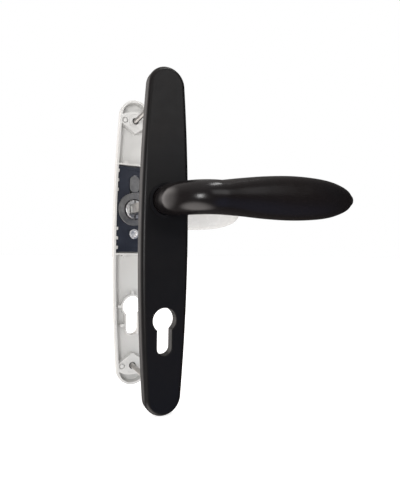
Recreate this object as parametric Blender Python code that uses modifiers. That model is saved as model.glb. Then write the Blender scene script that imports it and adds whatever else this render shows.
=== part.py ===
"""A pair of sprung lever handles on long plates, for a door with a euro-profile lock case.

Frame: origin on the spindle axis at the middle of the door, +Z up along the plates, the door in the XZ plane.
The outside handle faces -Y and the inside handle +Y, and both levers point to +X. Units are metres.

Each handle is modelled in the frame of its own empty: X as in the world, Z straight out of the door from the
plate's rim, and Y up or down. A handle's up is +1 or -1, the direction of local Y that is up in the world.
"""

import math
from collections import namedtuple

import bmesh
import bpy
from mathutils import Vector

# Door and lock pattern
DOOR = 0.070
SPINDLE_TO_CYLINDER = 0.0853
SCREW_SPACING = 0.215
SCREW_MIDDLE = -0.0297
GAP = 0.0003

# Long plate: convex long sides that run into full-round ends
PLATE_HEIGHT = 0.250
PLATE_TOP = 0.096
PLATE_HALF_WIDTH = 0.018
PLATE_DEPTH = 0.009
PLATE_WALL = 0.0022
PLATE_FLOOR = PLATE_DEPTH - PLATE_WALL
SIDE_RADIUS = 1.469
EDGE_RADIUS = 0.0035
SIDE_STEPS = 8
END_STEPS = 10

# Cast detail on the plate's door side; its far end is sunk into the floor
SUNK = 0.0006
WALL_LAP = 0.001
BOSS_FACE = 0.0003
BOSS_CROWN = 0.0081
BOSS_ARCH = 0.0039
BOSS_SIDE = 0.0019
BOSS_POINT = 0.0091
PIP_RADIUS = 0.0017
PIP_WELL = 0.0026
PIP_OFFSET = 0.0094
PIP_DEPTH = 0.0018
RIB_FACE = 0.0002
RIB_HEIGHT = 0.0385
RIB_THICKNESS = 0.0016
RIB_BUMP_OFFSET = 0.008
RIB_BUMP_RADIUS = 0.0019
LUG_PLACES = (0.017, 0.0253, 0.0336)
LUG_HEIGHT = 0.0028
LUG_REACH_UPPER = 0.0006
LUG_REACH_LOWER = 0.0012
BEARING_BACK = 0.004

# Euro-profile keyhole, its collar and the collar's feet
KEY_RADIUS = 0.0088
KEY_SLOT = 0.0055
KEY_DROP = 0.0252
COLLAR_WALL = 0.0015
COLLAR_DEPTH = 0.0075
FOOT_RADIUS = 0.0013
FOOT_REACH = 0.0121
FOOT_SET_BACK = 0.0004
SLOT_FOOT_REACH = 0.0096
SLOT_FOOT_DROP = 0.0166

# Spindle, hub and bearing
SPINDLE_SIZE = 0.008
SPINDLE_LENGTH = 0.104
SPINDLE_CHAMFER = 0.0004
HUB_RADIUS = 0.0080
HUB_FOOT = -0.0006
HUB_SPIGOT = 0.0070
HUB_SPIGOT_TOP = 0.0185
HUB_SQUARE = 0.0085
HUB_SLOT_HALF = 0.0009
HUB_SLOT_INNER = 0.003
HUB_SLOT_DEPTH = 0.0030
GROOVE_DEPTH = 0.0008
GROOVE_LOW = 0.0044
GROOVE_HIGH = 0.0057
CIRCLIP_LOW = 0.0046
CIRCLIP_HIGH = 0.0055
CIRCLIP_OUTER = 0.0107
CIRCLIP_OPENING = 44
NECK_RADIUS = 0.0103
NECK_START = 0.0062
NECK_BORE_LOW = 0.005
NECK_BORE_HIGH = 0.020
BUSH_RADIUS = 0.0115
BUSH_FLANGE = 0.0128
BUSH_HEIGHT = 0.0009
BUSH_CHAMFER = 0.0004

# Spring cassette
CASSETTE_HALF_HEIGHT = 0.0374
CASSETTE_GAP = 0.0003
COVER_FACE = 0.0009
COVER_BACK = 0.0020
COVER_SUNK_HALF = 0.0055
COVER_SUNK_DEPTH = 0.0005
COVER_SUNK_SPANS = ((0.0165, 0.0345), (-0.0345, -0.0175))
BODY_FRONT = 0.0023
BODY_BACK = 0.0063
COIL_SPACE = 0.0137
FAN_SPACE = 0.0162
FAN_HALF_ANGLE = 56
CAM_RADIUS = 0.0143
CAM_BORE = 0.0091
CAM_FACE = 0.0004
CAM_BACK = 0.0016
CAM_EDGE = 0.0003
SLEEVE_RADIUS = 0.0104
SLEEVE_BACK = 0.0040
TAB_INNER = 0.0133
TAB_HALF_ANGLE = 10.5
TAB_BACK = 0.0056
DRIVE_KEY_HALF = 0.0006
DRIVE_KEY_REACH = (0.0055, 0.0099)
DRIVE_KEY_DEPTH = (0.0019, 0.0028)
ANCHOR_HALF_WIDTH = 0.0042
ANCHOR_TOP = 0.0297
ANCHOR_FACE = 0.0005
ANCHOR_BACK = 0.0018
ANCHOR_STEM_HALF = 0.0030
ANCHOR_STEM_FOOT = 0.0175
ANCHOR_NOSE_HALF = 0.0024
ANCHOR_NOSE = (0.0146, 0.0168)
SEAT_FOOT = 0.012
RIVET_DROP = 0.0216
RIVET_RADIUS = 0.00425
RIVET_SHANK = 0.0030
RIVET_FACE = -0.0001
RIVET_EDGE = 0.0004
RIVET_CUP = 0.0021
RIVET_CUP_DEPTH = 0.0020
SPRING_WIRE = 0.0012
SPRING_RADIUS = 0.0126
SPRING_PITCH = 0.0014
SPRING_BASE = 0.0028
SPRING_LEG_X = 0.0034
SPRING_LEG_TOP = 0.0156
SPRING_STEPS = 44

# Screws
SCREW_RADIUS = 0.0020
SCREW_HOLE_TOP = 0.0064
SCREW_HOLE_STEP = 0.0052
SCREW_MOUTH = 0.0028
HEAD_RADIUS = 0.0040
HEAD_TOP = 0.00875
HEAD_EDGE = 0.0004
HEAD_FOOT = 0.0066
SCREW_TIP = 0.0060
TIP_CHAMFER = 0.0006
RECESS_ARM = 0.0020
RECESS_HALF = 0.00045
RECESS_DEPTH = 0.0018

# How far a cutter reaches past a face
PAST = 0.001

# Lever: the neck leaves the plate, bends through a quarter circle and runs out to the tip along X
GRIP_DEPTH = 0.050
BEND_RADIUS = 0.022
# Along the lever: neck distance out of the door, or grip distance along X; half height; half thickness; rise
NECK_STATIONS = (
    (NECK_START, NECK_RADIUS, NECK_RADIUS, 0.0),
    (0.0100, NECK_RADIUS, NECK_RADIUS, 0.0),
    (0.0180, 0.0112, 0.0102, -0.0003),
    (0.0280, 0.0112, 0.0102, -0.0012),
)
GRIP_STATIONS = (
    (0.0220, 0.0112, 0.0092, -0.0007),
    (0.0360, 0.0126, 0.0081, 0.0003),
    (0.0550, 0.0145, 0.0074, 0.0012),
    (0.0760, 0.0156, 0.0069, 0.0021),
    (0.0950, 0.0152, 0.0065, 0.0028),
    (0.1100, 0.0137, 0.0060, 0.0033),
    (0.1210, 0.0110, 0.0051, 0.0037),
    (0.1290, 0.0075, 0.0039, 0.0039),
    (0.1335, 0.0034, 0.0020, 0.0040),
)
TIP = 0.1345
RING_POINTS = 18
NECK_DEPTHS = (NECK_START, 0.010, 0.016, 0.022)
BEND_STEPS = 8
GRIP_STEPS = 16
GRIP_CROWDING = 1.5
LEVER_SHARP_ANGLE = 60

ROUND_STEPS = 32
SMALL_STEPS = 16

Handle = namedtuple("Handle", "prefix frame up")


# ---------------------------------------------------------------- scene and materials

def clear_scene():
    for old in list(bpy.data.objects):
        bpy.data.objects.remove(old, do_unlink=True)


def add_collection(name):
    collection = bpy.data.collections.new(name)
    bpy.context.scene.collection.children.link(collection)
    return collection


def add_material(name, colour, roughness, metallic=0.0):
    material = bpy.data.materials.new(name)
    material.use_nodes = True
    shader = material.node_tree.nodes["Principled BSDF"]
    shader.inputs["Base Color"].default_value = (*colour, 1.0)
    shader.inputs["Roughness"].default_value = roughness
    shader.inputs["Metallic"].default_value = metallic
    return material


def make_materials():
    return {
        "outside_plate": add_material("dark_powder_coat", (0.016, 0.014, 0.014), 0.42),
        "outside_lever": add_material("dark_powder_coat_lever", (0.020, 0.016, 0.015), 0.34),
        "inside_plate": add_material("white_powder_coat", (0.84, 0.83, 0.80), 0.40),
        "inside_lever": add_material("white_powder_coat_lever", (0.86, 0.85, 0.82), 0.34),
        "nylon": add_material("black_nylon", (0.022, 0.025, 0.035), 0.50),
        "zinc": add_material("bare_zinc", (0.62, 0.62, 0.61), 0.32, 1.0),
        "cam": add_material("grey_zinc", (0.24, 0.24, 0.24), 0.45, 0.8),
        "steel": add_material("plated_steel", (0.52, 0.51, 0.49), 0.30, 1.0),
        "spring": add_material("spring_steel", (0.36, 0.36, 0.37), 0.28, 1.0),
    }


# ---------------------------------------------------------------- building blocks

def place(body, handle, material=None):
    """Parent an object to its handle's empty and give it a material."""
    if handle:
        body.parent = handle.frame
    if material:
        body.data.materials.append(material)
    return body


def link_part(name, mesh, handle, material):
    body = bpy.data.objects.new(name, mesh)
    parts.objects.link(body)
    return place(body, handle, material)


def smooth(mesh, degrees):
    mesh.shade_smooth()
    mesh.set_sharp_from_angle(angle=math.radians(degrees))


def flatten_caps(work):
    """Dissolve the triangles of each flat end into one face."""
    def level(face):
        heights = [corner.co.z for corner in face.verts]
        return max(heights) - min(heights) < 1e-7

    inner = [edge for edge in work.edges if all(level(face) for face in edge.link_faces)]
    bmesh.ops.dissolve_edges(work, edges=inner, use_verts=False)


def slab_mesh(name, loops, low, high):
    """A flat outline, with any inner loops as holes, standing from height low to high along Z."""
    curve = bpy.data.curves.new(name, "CURVE")
    curve.dimensions = "2D"
    curve.fill_mode = "BOTH"
    curve.extrude = (high - low) / 2
    for loop in loops:
        spline = curve.splines.new("POLY")
        spline.points.add(len(loop) - 1)
        for point, (x, y) in zip(spline.points, loop):
            point.co = (x, y, 0.0, 1.0)
        spline.use_cyclic_u = True
    guide = bpy.data.objects.new(name + "_guide", curve)
    parts.objects.link(guide)
    seen = guide.evaluated_get(bpy.context.evaluated_depsgraph_get())
    mesh = bpy.data.meshes.new_from_object(seen)
    bpy.data.objects.remove(guide, do_unlink=True)
    work = bmesh.new()
    work.from_mesh(mesh)
    bmesh.ops.remove_doubles(work, verts=work.verts, dist=1e-6)
    bmesh.ops.translate(work, verts=work.verts, vec=(0, 0, (low + high) / 2))
    bmesh.ops.recalc_face_normals(work, faces=work.faces)
    if len(loops) == 1:
        flatten_caps(work)
    work.to_mesh(mesh)
    work.free()
    return mesh


def slab(name, loops, low, high, handle, material=None):
    return link_part(name, slab_mesh(name, loops, low, high), handle, material)


def turned(name, profile, handle, material=None, ring=False, steps=ROUND_STEPS):
    """A (radius, height) profile, running down its outer side, turned about Z by a Screw modifier."""
    mesh = bpy.data.meshes.new(name)
    count = len(profile)
    edges = [(i, i + 1) for i in range(count - 1)]
    if ring:
        edges.append((count - 1, 0))
    mesh.from_pydata([(radius, 0.0, height) for radius, height in profile], edges, [])
    body = link_part(name, mesh, handle, material)
    screw = body.modifiers.new("turn", "SCREW")
    screw.steps = steps
    screw.render_steps = steps
    screw.use_merge_vertices = True
    screw.merge_threshold = 1e-6
    return body


def boolean(target, tool, operation="DIFFERENCE"):
    """Cut or join a helper shape, which moves to the cutters' collection."""
    parts.objects.unlink(tool)
    cutters.objects.link(tool)
    tool.hide_render = True
    tool.display_type = "WIRE"
    change = target.modifiers.new(tool.name, "BOOLEAN")
    change.operation = operation
    change.solver = "EXACT"
    change.object = tool


def merged(name, meshes, handle):
    """One helper object from several separate meshes, which don't touch each other."""
    work = bmesh.new()
    for mesh in meshes:
        work.from_mesh(mesh)
    mesh = bpy.data.meshes.new(name)
    work.to_mesh(mesh)
    work.free()
    return link_part(name, mesh, handle, None)


# ---------------------------------------------------------------- outlines

def arc(centre_x, centre_y, radius, start, stop, steps):
    """Points along an arc, angles in degrees, both ends included."""
    angles = [math.radians(start + (stop - start) * i / steps) for i in range(steps + 1)]
    return [(centre_x + radius * math.cos(a), centre_y + radius * math.sin(a)) for a in angles]


def box_outline(left, right, bottom, top):
    return [(left, bottom), (right, bottom), (right, top), (left, top)]


def circle(x, y, radius, steps=SMALL_STEPS):
    return arc(x, y, radius, 0, 360, steps)[:-1]


def plate_middle():
    return PLATE_TOP - PLATE_HEIGHT / 2


def end_radius():
    """The end arc that touches both long sides and the plate's end."""
    half = PLATE_HEIGHT / 2
    side = SIDE_RADIUS - PLATE_HALF_WIDTH
    return (SIDE_RADIUS**2 - side**2 - half**2) / (2 * (SIDE_RADIUS - half))


def half_width(height):
    """Half the plate's width along its convex sides, at a height above the spindle."""
    rise = height - plate_middle()
    return PLATE_HALF_WIDTH - SIDE_RADIUS + math.sqrt(SIDE_RADIUS**2 - rise**2)


def plate_outline(inset, up):
    """The plate's outline, moved inwards, with its long sides and round ends as arcs."""
    round_end = end_radius()
    reach = PLATE_HEIGHT / 2 - round_end
    turn = math.degrees(math.asin(reach / (SIDE_RADIUS - round_end)))
    side_x = PLATE_HALF_WIDTH - SIDE_RADIUS
    right = arc(side_x, 0, SIDE_RADIUS - inset, -turn, turn, SIDE_STEPS)
    top = arc(0, reach, round_end - inset, turn, 180 - turn, END_STEPS)
    half = right[:-1] + top[:-1]
    loop = half + [(-x, -y) for x, y in half]
    return [(x, up * (y + plate_middle())) for x, y in loop]


def keyhole_outline(grow, up):
    """A circle over a round-bottomed slot, grown outwards by an even amount."""
    radius = KEY_RADIUS + grow
    slot = KEY_SLOT + grow
    meet = math.degrees(math.asin(math.sqrt(radius**2 - slot**2) / radius))
    head = arc(0, 0, radius, -meet, 180 + meet, 18)
    foot = arc(0, KEY_SLOT - KEY_DROP, slot, 180, 360, 8)
    return [(x, up * (y - SPINDLE_TO_CYLINDER)) for x, y in head + foot]


def screw_height(way):
    return SCREW_MIDDLE + way * SCREW_SPACING / 2


def boss_outline(outward, up):
    """A boss across the plate: arched towards the plate's end, pointed towards its middle."""
    centre = screw_height(outward)
    reach = half_width(centre) - PLATE_WALL + WALL_LAP
    shares = [i / 6 - 1 for i in range(13)]
    crown = [(s * reach, centre + outward * (BOSS_CROWN - BOSS_ARCH * s * s)) for s in shares]
    corners = [(reach, BOSS_SIDE), (0.0, BOSS_SIDE + BOSS_POINT), (-reach, BOSS_SIDE)]
    point = [(x, centre - outward * drop) for x, drop in corners]
    return [(x, up * y) for x, y in crown + point]


def rib_outline(sign, up):
    """A cross rib that bounds the cassette, with two half-round bumps on its far side."""
    low = sign * RIB_HEIGHT
    high = sign * (RIB_HEIGHT + RIB_THICKNESS)
    reach = half_width(low) - PLATE_WALL + WALL_LAP
    points = [(-reach, low), (reach, low), (reach, high)]
    for x in (RIB_BUMP_OFFSET, -RIB_BUMP_OFFSET):
        bump = arc(x, 0, RIB_BUMP_RADIUS, 0, 180, 8)
        points += [(px, high + sign * py) for px, py in bump]
    points.append((-reach, high))
    return [(x, up * y) for x, y in points]


def lug_rows():
    """Height and reach of the lugs on each inner wall, upwards."""
    lower = [(-y, LUG_REACH_LOWER) for y in reversed(LUG_PLACES)]
    return lower + [(y, LUG_REACH_UPPER) for y in LUG_PLACES]


def cassette_outline(up):
    """The cassette's outline: the plate's inner width, with notches round the plate's lugs."""
    def edge(height):
        return half_width(height) - PLATE_WALL - CASSETTE_GAP

    notch_half = LUG_HEIGHT / 2 + GAP
    right = [(edge(-CASSETTE_HALF_HEIGHT), -CASSETTE_HALF_HEIGHT)]
    for middle, reach in lug_rows():
        low, high = middle - notch_half, middle + notch_half
        depth = reach + GAP
        right += [(edge(low), low), (edge(low) - depth, low)]
        right += [(edge(high) - depth, high), (edge(high), high)]
    right.append((edge(CASSETTE_HALF_HEIGHT), CASSETTE_HALF_HEIGHT))
    left = [(-x, y) for x, y in reversed(right)]
    return [(x, up * y) for x, y in right + left]


def arched_outline(half, foot, up, steps=8):
    """Straight sides from a foot up to a round top that shares the anchor's centre."""
    top = arc(0, ANCHOR_TOP - ANCHOR_HALF_WIDTH, half, 0, 180, steps)
    return [(x, up * y) for x, y in [(half, foot)] + top + [(-half, foot)]]


def up_box(half, low, high, up):
    """A box outline about the middle line, between two heights."""
    return box_outline(-half, half, *sorted((up * low, up * high)))


# ---------------------------------------------------------------- long plates

def plate_block(handle, material):
    """The outer block, with a rounded front edge all round."""
    name = handle.prefix + "_plate"
    mesh = slab_mesh(name, [plate_outline(0, handle.up)], 0, PLATE_DEPTH)
    work = bmesh.new()
    work.from_mesh(mesh)
    weight = work.edges.layers.float.new("bevel_weight_edge")
    for edge in work.edges:
        if all(abs(corner.co.z - PLATE_DEPTH) < 1e-6 for corner in edge.verts):
            edge[weight] = 1.0
    work.to_mesh(mesh)
    work.free()
    body = link_part(name, mesh, handle, material)
    rounding = body.modifiers.new("front_edge", "BEVEL")
    rounding.limit_method = "WEIGHT"
    rounding.width = EDGE_RADIUS
    rounding.segments = 4
    return body


def lug_meshes(up):
    """Small lugs on the inner walls that the cassette's notches fit round."""
    meshes = []
    for side in (-1, 1):
        for middle, reach in lug_rows():
            wall = half_width(middle) - PLATE_WALL
            xs = sorted((side * (wall + WALL_LAP), side * (wall - reach - CASSETTE_GAP)))
            ys = (up * middle - LUG_HEIGHT / 2, up * middle + LUG_HEIGHT / 2)
            meshes.append(slab_mesh("lug", [box_outline(*xs, *ys)], COVER_FACE, PLATE_FLOOR + SUNK))
    return meshes


def foot_meshes(up):
    """Round-ended feet that stand out from the keyhole collar, at its top, its sides and its slot."""
    meshes = []
    back = PLATE_DEPTH - COLLAR_DEPTH + FOOT_SET_BACK
    rows = [(0.0, FOOT_REACH, 0.0, KEY_RADIUS + GAP)]
    for side in (-1, 1):
        rows.append((side * FOOT_REACH, 0.0, side * (KEY_RADIUS + GAP), 0.0))
        rows.append((side * SLOT_FOOT_REACH, -SLOT_FOOT_DROP, side * (KEY_SLOT + GAP), -SLOT_FOOT_DROP))
    for end_x, end_y, root_x, root_y in rows:
        out = math.degrees(math.atan2(end_y - root_y, end_x - root_x))
        tip = arc(end_x, end_y, FOOT_RADIUS, out - 90, out + 90, 8)
        side_way = math.radians(out + 90)
        dx, dy = FOOT_RADIUS * math.cos(side_way), FOOT_RADIUS * math.sin(side_way)
        loop = tip + [(root_x + dx, root_y + dy), (root_x - dx, root_y - dy)]
        outline = [(x, up * (y - SPINDLE_TO_CYLINDER)) for x, y in loop]
        meshes.append(slab_mesh("foot", [outline], back, PLATE_FLOOR + SUNK / 2))
    return meshes


def make_plate(handle, material):
    up = handle.up
    prefix = handle.prefix
    sunk = PLATE_FLOOR + SUNK
    body = plate_block(handle, material)
    boolean(body, slab(prefix + "_tray", [plate_outline(PLATE_WALL, up)], -PAST, PLATE_FLOOR, handle))

    casts = [slab_mesh("boss", [boss_outline(way, up)], BOSS_FACE, sunk) for way in (1, -1)]
    casts += [slab_mesh("rib", [rib_outline(way, up)], RIB_FACE, sunk) for way in (1, -1)]
    collar_back = PLATE_DEPTH - COLLAR_DEPTH
    casts.append(slab_mesh("collar", [keyhole_outline(COLLAR_WALL, up)], collar_back, sunk))
    boolean(body, merged(prefix + "_casts", casts, handle), "UNION")
    boolean(body, merged(prefix + "_collar_feet", foot_meshes(up), handle), "UNION")
    boolean(body, merged(prefix + "_lugs", lug_meshes(up), handle), "UNION")

    front = PLATE_DEPTH + PAST
    holes = [slab_mesh("keyhole", [keyhole_outline(0, up)], -PAST, front)]
    bearing = circle(0, 0, BUSH_RADIUS + GAP, ROUND_STEPS)
    holes.append(slab_mesh("bearing", [bearing], BEARING_BACK, front))
    for way in (1, -1):
        centre = up * screw_height(way)
        for x in (-PIP_OFFSET, PIP_OFFSET):
            well = [circle(x, centre, PIP_WELL, 14), circle(x, centre, PIP_RADIUS, 10)]
            holes.append(slab_mesh("pip_well", well, -PAST, PIP_DEPTH))
    boolean(body, merged(prefix + "_holes", holes, handle))
    return body


def screw_holes(handle, plate, through):
    """Blind tapped holes, or clearance holes with a countersink in the face."""
    bore = SCREW_RADIUS + GAP
    if through:
        profile = [
            (0.0, PLATE_DEPTH + PAST),
            (HEAD_RADIUS + GAP, PLATE_DEPTH + PAST),
            (HEAD_RADIUS + GAP, HEAD_TOP - GAP),
            (bore, SCREW_HOLE_TOP),
            (bore, SCREW_HOLE_STEP),
            (SCREW_MOUTH, SCREW_HOLE_STEP),
            (SCREW_MOUTH, -PAST),
            (0.0, -PAST),
        ]
    else:
        profile = [(0.0, SCREW_HOLE_TOP), (bore, SCREW_HOLE_TOP), (bore, -PAST), (0.0, -PAST)]
    for way, word in ((1, "upper"), (-1, "lower")):
        hole = turned(f"{handle.prefix}_{word}_screw_hole", profile, handle, steps=SMALL_STEPS)
        hole.location.y = handle.up * screw_height(way)
        boolean(plate, hole)


# ---------------------------------------------------------------- levers

def spline_value(stations, column, where):
    """A smooth curve through the stations, read at a distance along them."""
    keys = [row[0] for row in stations]
    values = [row[column] for row in stations]
    last = len(keys) - 2
    i = max(0, min(last, sum(key <= where for key in keys) - 1))

    def slope(k):
        low, high = max(k - 1, 0), min(k + 1, len(keys) - 1)
        return (values[high] - values[low]) / (keys[high] - keys[low])

    span = keys[i + 1] - keys[i]
    t = (where - keys[i]) / span
    rise = values[i + 1] - values[i]
    bend_in = slope(i) * span - rise
    bend_out = rise - slope(i + 1) * span
    return values[i] + t * rise + t * (1 - t) * ((1 - t) * bend_in + t * bend_out)


def lever_stations():
    """Centre, direction angle from straight out, half height and half thickness, root to tip."""
    rows = []
    bend_start = GRIP_DEPTH - BEND_RADIUS
    for depth in NECK_DEPTHS:
        size = [spline_value(NECK_STATIONS, column, depth) for column in (1, 2, 3)]
        rows.append((0.0, depth, 0.0, *size))
    start, stop = NECK_STATIONS[-1], GRIP_STATIONS[0]
    for i in range(BEND_STEPS):
        share = i / BEND_STEPS
        angle = math.radians(90 * share)
        x = BEND_RADIUS * (1 - math.cos(angle))
        depth = bend_start + BEND_RADIUS * math.sin(angle)
        size = [start[c] + (stop[c] - start[c]) * share for c in (1, 2, 3)]
        rows.append((x, depth, angle, *size))
    reach = GRIP_STATIONS[-1][0]
    for i in range(GRIP_STEPS + 1):
        share = i / GRIP_STEPS
        x = BEND_RADIUS + (reach - BEND_RADIUS) * (1 - (1 - share) ** GRIP_CROWDING)
        size = [spline_value(GRIP_STATIONS, column, x) for column in (1, 2, 3)]
        rows.append((x, GRIP_DEPTH, math.pi / 2, *size))
    return rows


def make_lever(handle, material):
    """An oval section lofted along the neck, the bend and the leaf-shaped grip."""
    work = bmesh.new()
    rings = []
    for x, depth, angle, half_height, half_thick, rise in lever_stations():
        ring = []
        for k in range(RING_POINTS):
            turn = 2 * math.pi * k / RING_POINTS
            across = half_thick * math.cos(turn)
            corner = Vector((x, handle.up * (rise + half_height * math.sin(turn)), depth))
            corner += across * Vector((-math.cos(angle), 0, math.sin(angle)))
            ring.append(work.verts.new(corner))
        rings.append(ring)
    for first, second in zip(rings, rings[1:]):
        for k in range(RING_POINTS):
            following = (k + 1) % RING_POINTS
            work.faces.new((first[k], first[following], second[following], second[k]))
    work.faces.new(rings[0])
    tip_rise = handle.up * GRIP_STATIONS[-1][3]
    tip = work.verts.new((TIP, tip_rise, GRIP_DEPTH))
    for k in range(RING_POINTS):
        work.faces.new((rings[-1][k], rings[-1][(k + 1) % RING_POINTS], tip))
    bmesh.ops.recalc_face_normals(work, faces=work.faces)
    mesh = bpy.data.meshes.new(handle.prefix + "_lever")
    work.to_mesh(mesh)
    work.free()
    smooth(mesh, LEVER_SHARP_ANGLE)
    body = link_part(mesh.name, mesh, handle, material)
    radius = HUB_SPIGOT + GAP
    bore = [(0.0, NECK_BORE_HIGH), (radius, NECK_BORE_HIGH), (radius, NECK_BORE_LOW), (0.0, NECK_BORE_LOW)]
    boolean(body, turned(handle.prefix + "_lever_bore", bore, handle, steps=SMALL_STEPS))
    return body


def make_hub(handle, material):
    """Bare zinc hub: a spigot in the lever's neck, a circlip groove, a square hole and two end slots."""
    groove = HUB_RADIUS - GROOVE_DEPTH
    shoulder = NECK_START - GAP
    profile = [
        (0.0, HUB_SPIGOT_TOP),
        (HUB_SPIGOT, HUB_SPIGOT_TOP),
        (HUB_SPIGOT, shoulder),
        (HUB_RADIUS, shoulder),
        (HUB_RADIUS, GROOVE_HIGH),
        (groove, GROOVE_HIGH),
        (groove, GROOVE_LOW),
        (HUB_RADIUS, GROOVE_LOW),
        (HUB_RADIUS, HUB_FOOT),
        (0.0, HUB_FOOT),
    ]
    body = turned(handle.prefix + "_hub", profile, handle, material)
    half = HUB_SQUARE / 2
    square = box_outline(-half, half, -half, half)
    low, high = HUB_FOOT - PAST, HUB_SPIGOT_TOP + PAST
    boolean(body, slab(handle.prefix + "_hub_square", [square], low, high, handle))
    slots = [up_box(HUB_SLOT_HALF, HUB_SLOT_INNER, HUB_RADIUS + PAST, way) for way in (1, -1)]
    meshes = [slab_mesh("hub_slot", [slot], low - PAST, HUB_SLOT_DEPTH) for slot in slots]
    boolean(body, merged(handle.prefix + "_hub_slots", meshes, handle))
    return body


def make_bush(handle, material):
    """A flanged nylon ring between the lever's neck and the plate."""
    bore = NECK_RADIUS + GAP
    seat = PLATE_DEPTH + GAP
    face = seat + BUSH_HEIGHT
    profile = [
        (bore, face),
        (BUSH_FLANGE - BUSH_CHAMFER, face),
        (BUSH_FLANGE, face - BUSH_CHAMFER),
        (BUSH_FLANGE, seat),
        (BUSH_RADIUS, seat),
        (BUSH_RADIUS, NECK_START - GAP),
        (bore, NECK_START - GAP),
    ]
    return turned(handle.prefix + "_neck_bush", profile, handle, material, ring=True)


def make_circlip(handle, material):
    """A flat open ring, sprung into the hub's groove."""
    start, stop = 90 + CIRCLIP_OPENING / 2, 450 - CIRCLIP_OPENING / 2
    inner = HUB_RADIUS - GROOVE_DEPTH + GAP
    ring = arc(0, 0, CIRCLIP_OUTER, start, stop, 26) + arc(0, 0, inner, stop, start, 22)
    loop = [(x, handle.up * y) for x, y in ring]
    return slab(handle.prefix + "_circlip", [loop], CIRCLIP_LOW, CIRCLIP_HIGH, handle, material)


# ---------------------------------------------------------------- spring cassette

def make_cover(handle, material):
    """The lid on the door side: openings for the cam, the anchor and the rivet, and a sunk middle."""
    up = handle.up
    prefix = handle.prefix
    low, high = COVER_FACE - PAST, COVER_BACK + PAST
    name = prefix + "_cassette_cover"
    body = slab(name, [cassette_outline(up)], COVER_FACE, COVER_BACK, handle, material)
    cam_hole = circle(0, 0, CAM_RADIUS + GAP, ROUND_STEPS)
    rivet_hole = circle(0, -up * RIVET_DROP, RIVET_SHANK + GAP)
    holes = [slab_mesh("hole", [loop], low, high) for loop in (cam_hole, rivet_hole)]
    boolean(body, merged(prefix + "_cover_holes", holes, handle))
    window = arched_outline(ANCHOR_HALF_WIDTH + GAP, SEAT_FOOT, up, 10)
    boolean(body, slab(prefix + "_anchor_window", [window], low, high, handle))
    sunk = [
        slab_mesh("sunk", [up_box(COVER_SUNK_HALF, *span, up)], low, COVER_FACE + COVER_SUNK_DEPTH)
        for span in COVER_SUNK_SPANS
    ]
    boolean(body, merged(prefix + "_cover_sunk", sunk, handle))
    return body


def make_cassette_body(handle, material):
    """The frame round the spring: a bore for the coil, and a fan above it where the spring's legs swing."""
    up = handle.up
    prefix = handle.prefix
    low, high = BODY_FRONT - PAST, BODY_BACK + PAST
    name = prefix + "_cassette_body"
    body = slab(name, [cassette_outline(up)], BODY_FRONT, BODY_BACK, handle, material)
    start, stop = 90 - FAN_HALF_ANGLE, 90 + FAN_HALF_ANGLE
    fan = arc(0, 0, FAN_SPACE, start, stop, 20) + arc(0, 0, COIL_SPACE, stop, 360 + start, 26)[1:-1]
    space = [(x, up * y) for x, y in fan]
    boolean(body, slab(prefix + "_coil_space", [space], low, high, handle))
    seat = arched_outline(ANCHOR_STEM_HALF + GAP, SEAT_FOOT, up)
    boolean(body, slab(prefix + "_anchor_seat", [seat], low, high, handle))
    hole = circle(0, -up * RIVET_DROP, RIVET_SHANK + GAP)
    boolean(body, slab(prefix + "_rivet_way", [hole], low, high, handle))
    return body


def make_cam(handle, material):
    """A flange round the hub, a short sleeve inside the coil, and a tab that pushes the spring's legs."""
    up = handle.up
    profile = [
        (CAM_RADIUS - CAM_EDGE, CAM_FACE),
        (CAM_RADIUS, CAM_FACE + CAM_EDGE),
        (CAM_RADIUS, CAM_BACK),
        (SLEEVE_RADIUS, CAM_BACK),
        (SLEEVE_RADIUS, SLEEVE_BACK),
        (CAM_BORE, SLEEVE_BACK),
        (CAM_BORE, CAM_FACE),
    ]
    body = turned(handle.prefix + "_cam", profile, handle, material, ring=True)
    start, stop = 90 - TAB_HALF_ANGLE, 90 + TAB_HALF_ANGLE
    tab = arc(0, 0, CAM_RADIUS - CAM_EDGE, start, stop, 6) + arc(0, 0, TAB_INNER, stop, start, 6)
    tab = [(x, up * y) for x, y in tab]
    boolean(body, slab(handle.prefix + "_cam_tab", [tab], CAM_FACE + SUNK, TAB_BACK, handle), "UNION")
    keys = [up_box(DRIVE_KEY_HALF, *DRIVE_KEY_REACH, way) for way in (1, -1)]
    meshes = [slab_mesh("drive_key", [key], *DRIVE_KEY_DEPTH) for key in keys]
    boolean(body, merged(handle.prefix + "_drive_keys", meshes, handle), "UNION")
    return body


def make_anchor(handle, material):
    """The fixed piece between the spring's legs: a round-ended head in the lid and a narrower stem."""
    up = handle.up
    half = ANCHOR_HALF_WIDTH
    foot = CAM_RADIUS + 2 * GAP + half
    head = arc(0, ANCHOR_TOP - half, half, 0, 180, 14) + arc(0, foot, half, 180, 360, 14)
    head = [(x, up * y) for x, y in head]
    body = slab(handle.prefix + "_spring_anchor", [head], ANCHOR_FACE, ANCHOR_BACK, handle, material)
    low, high = ANCHOR_NOSE
    nose = [(ANCHOR_NOSE_HALF, low), (ANCHOR_NOSE_HALF, high)]
    top = arc(0, ANCHOR_TOP - half, ANCHOR_STEM_HALF, 0, 180, 8)
    right = nose + [(ANCHOR_STEM_HALF, ANCHOR_STEM_FOOT)]
    stem = right + top + [(-x, y) for x, y in reversed(right)]
    stem = [(x, up * y) for x, y in stem]
    name = handle.prefix + "_anchor_stem"
    boolean(body, slab(name, [stem], ANCHOR_BACK - GAP, BODY_BACK - GAP, handle), "UNION")
    return body


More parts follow.
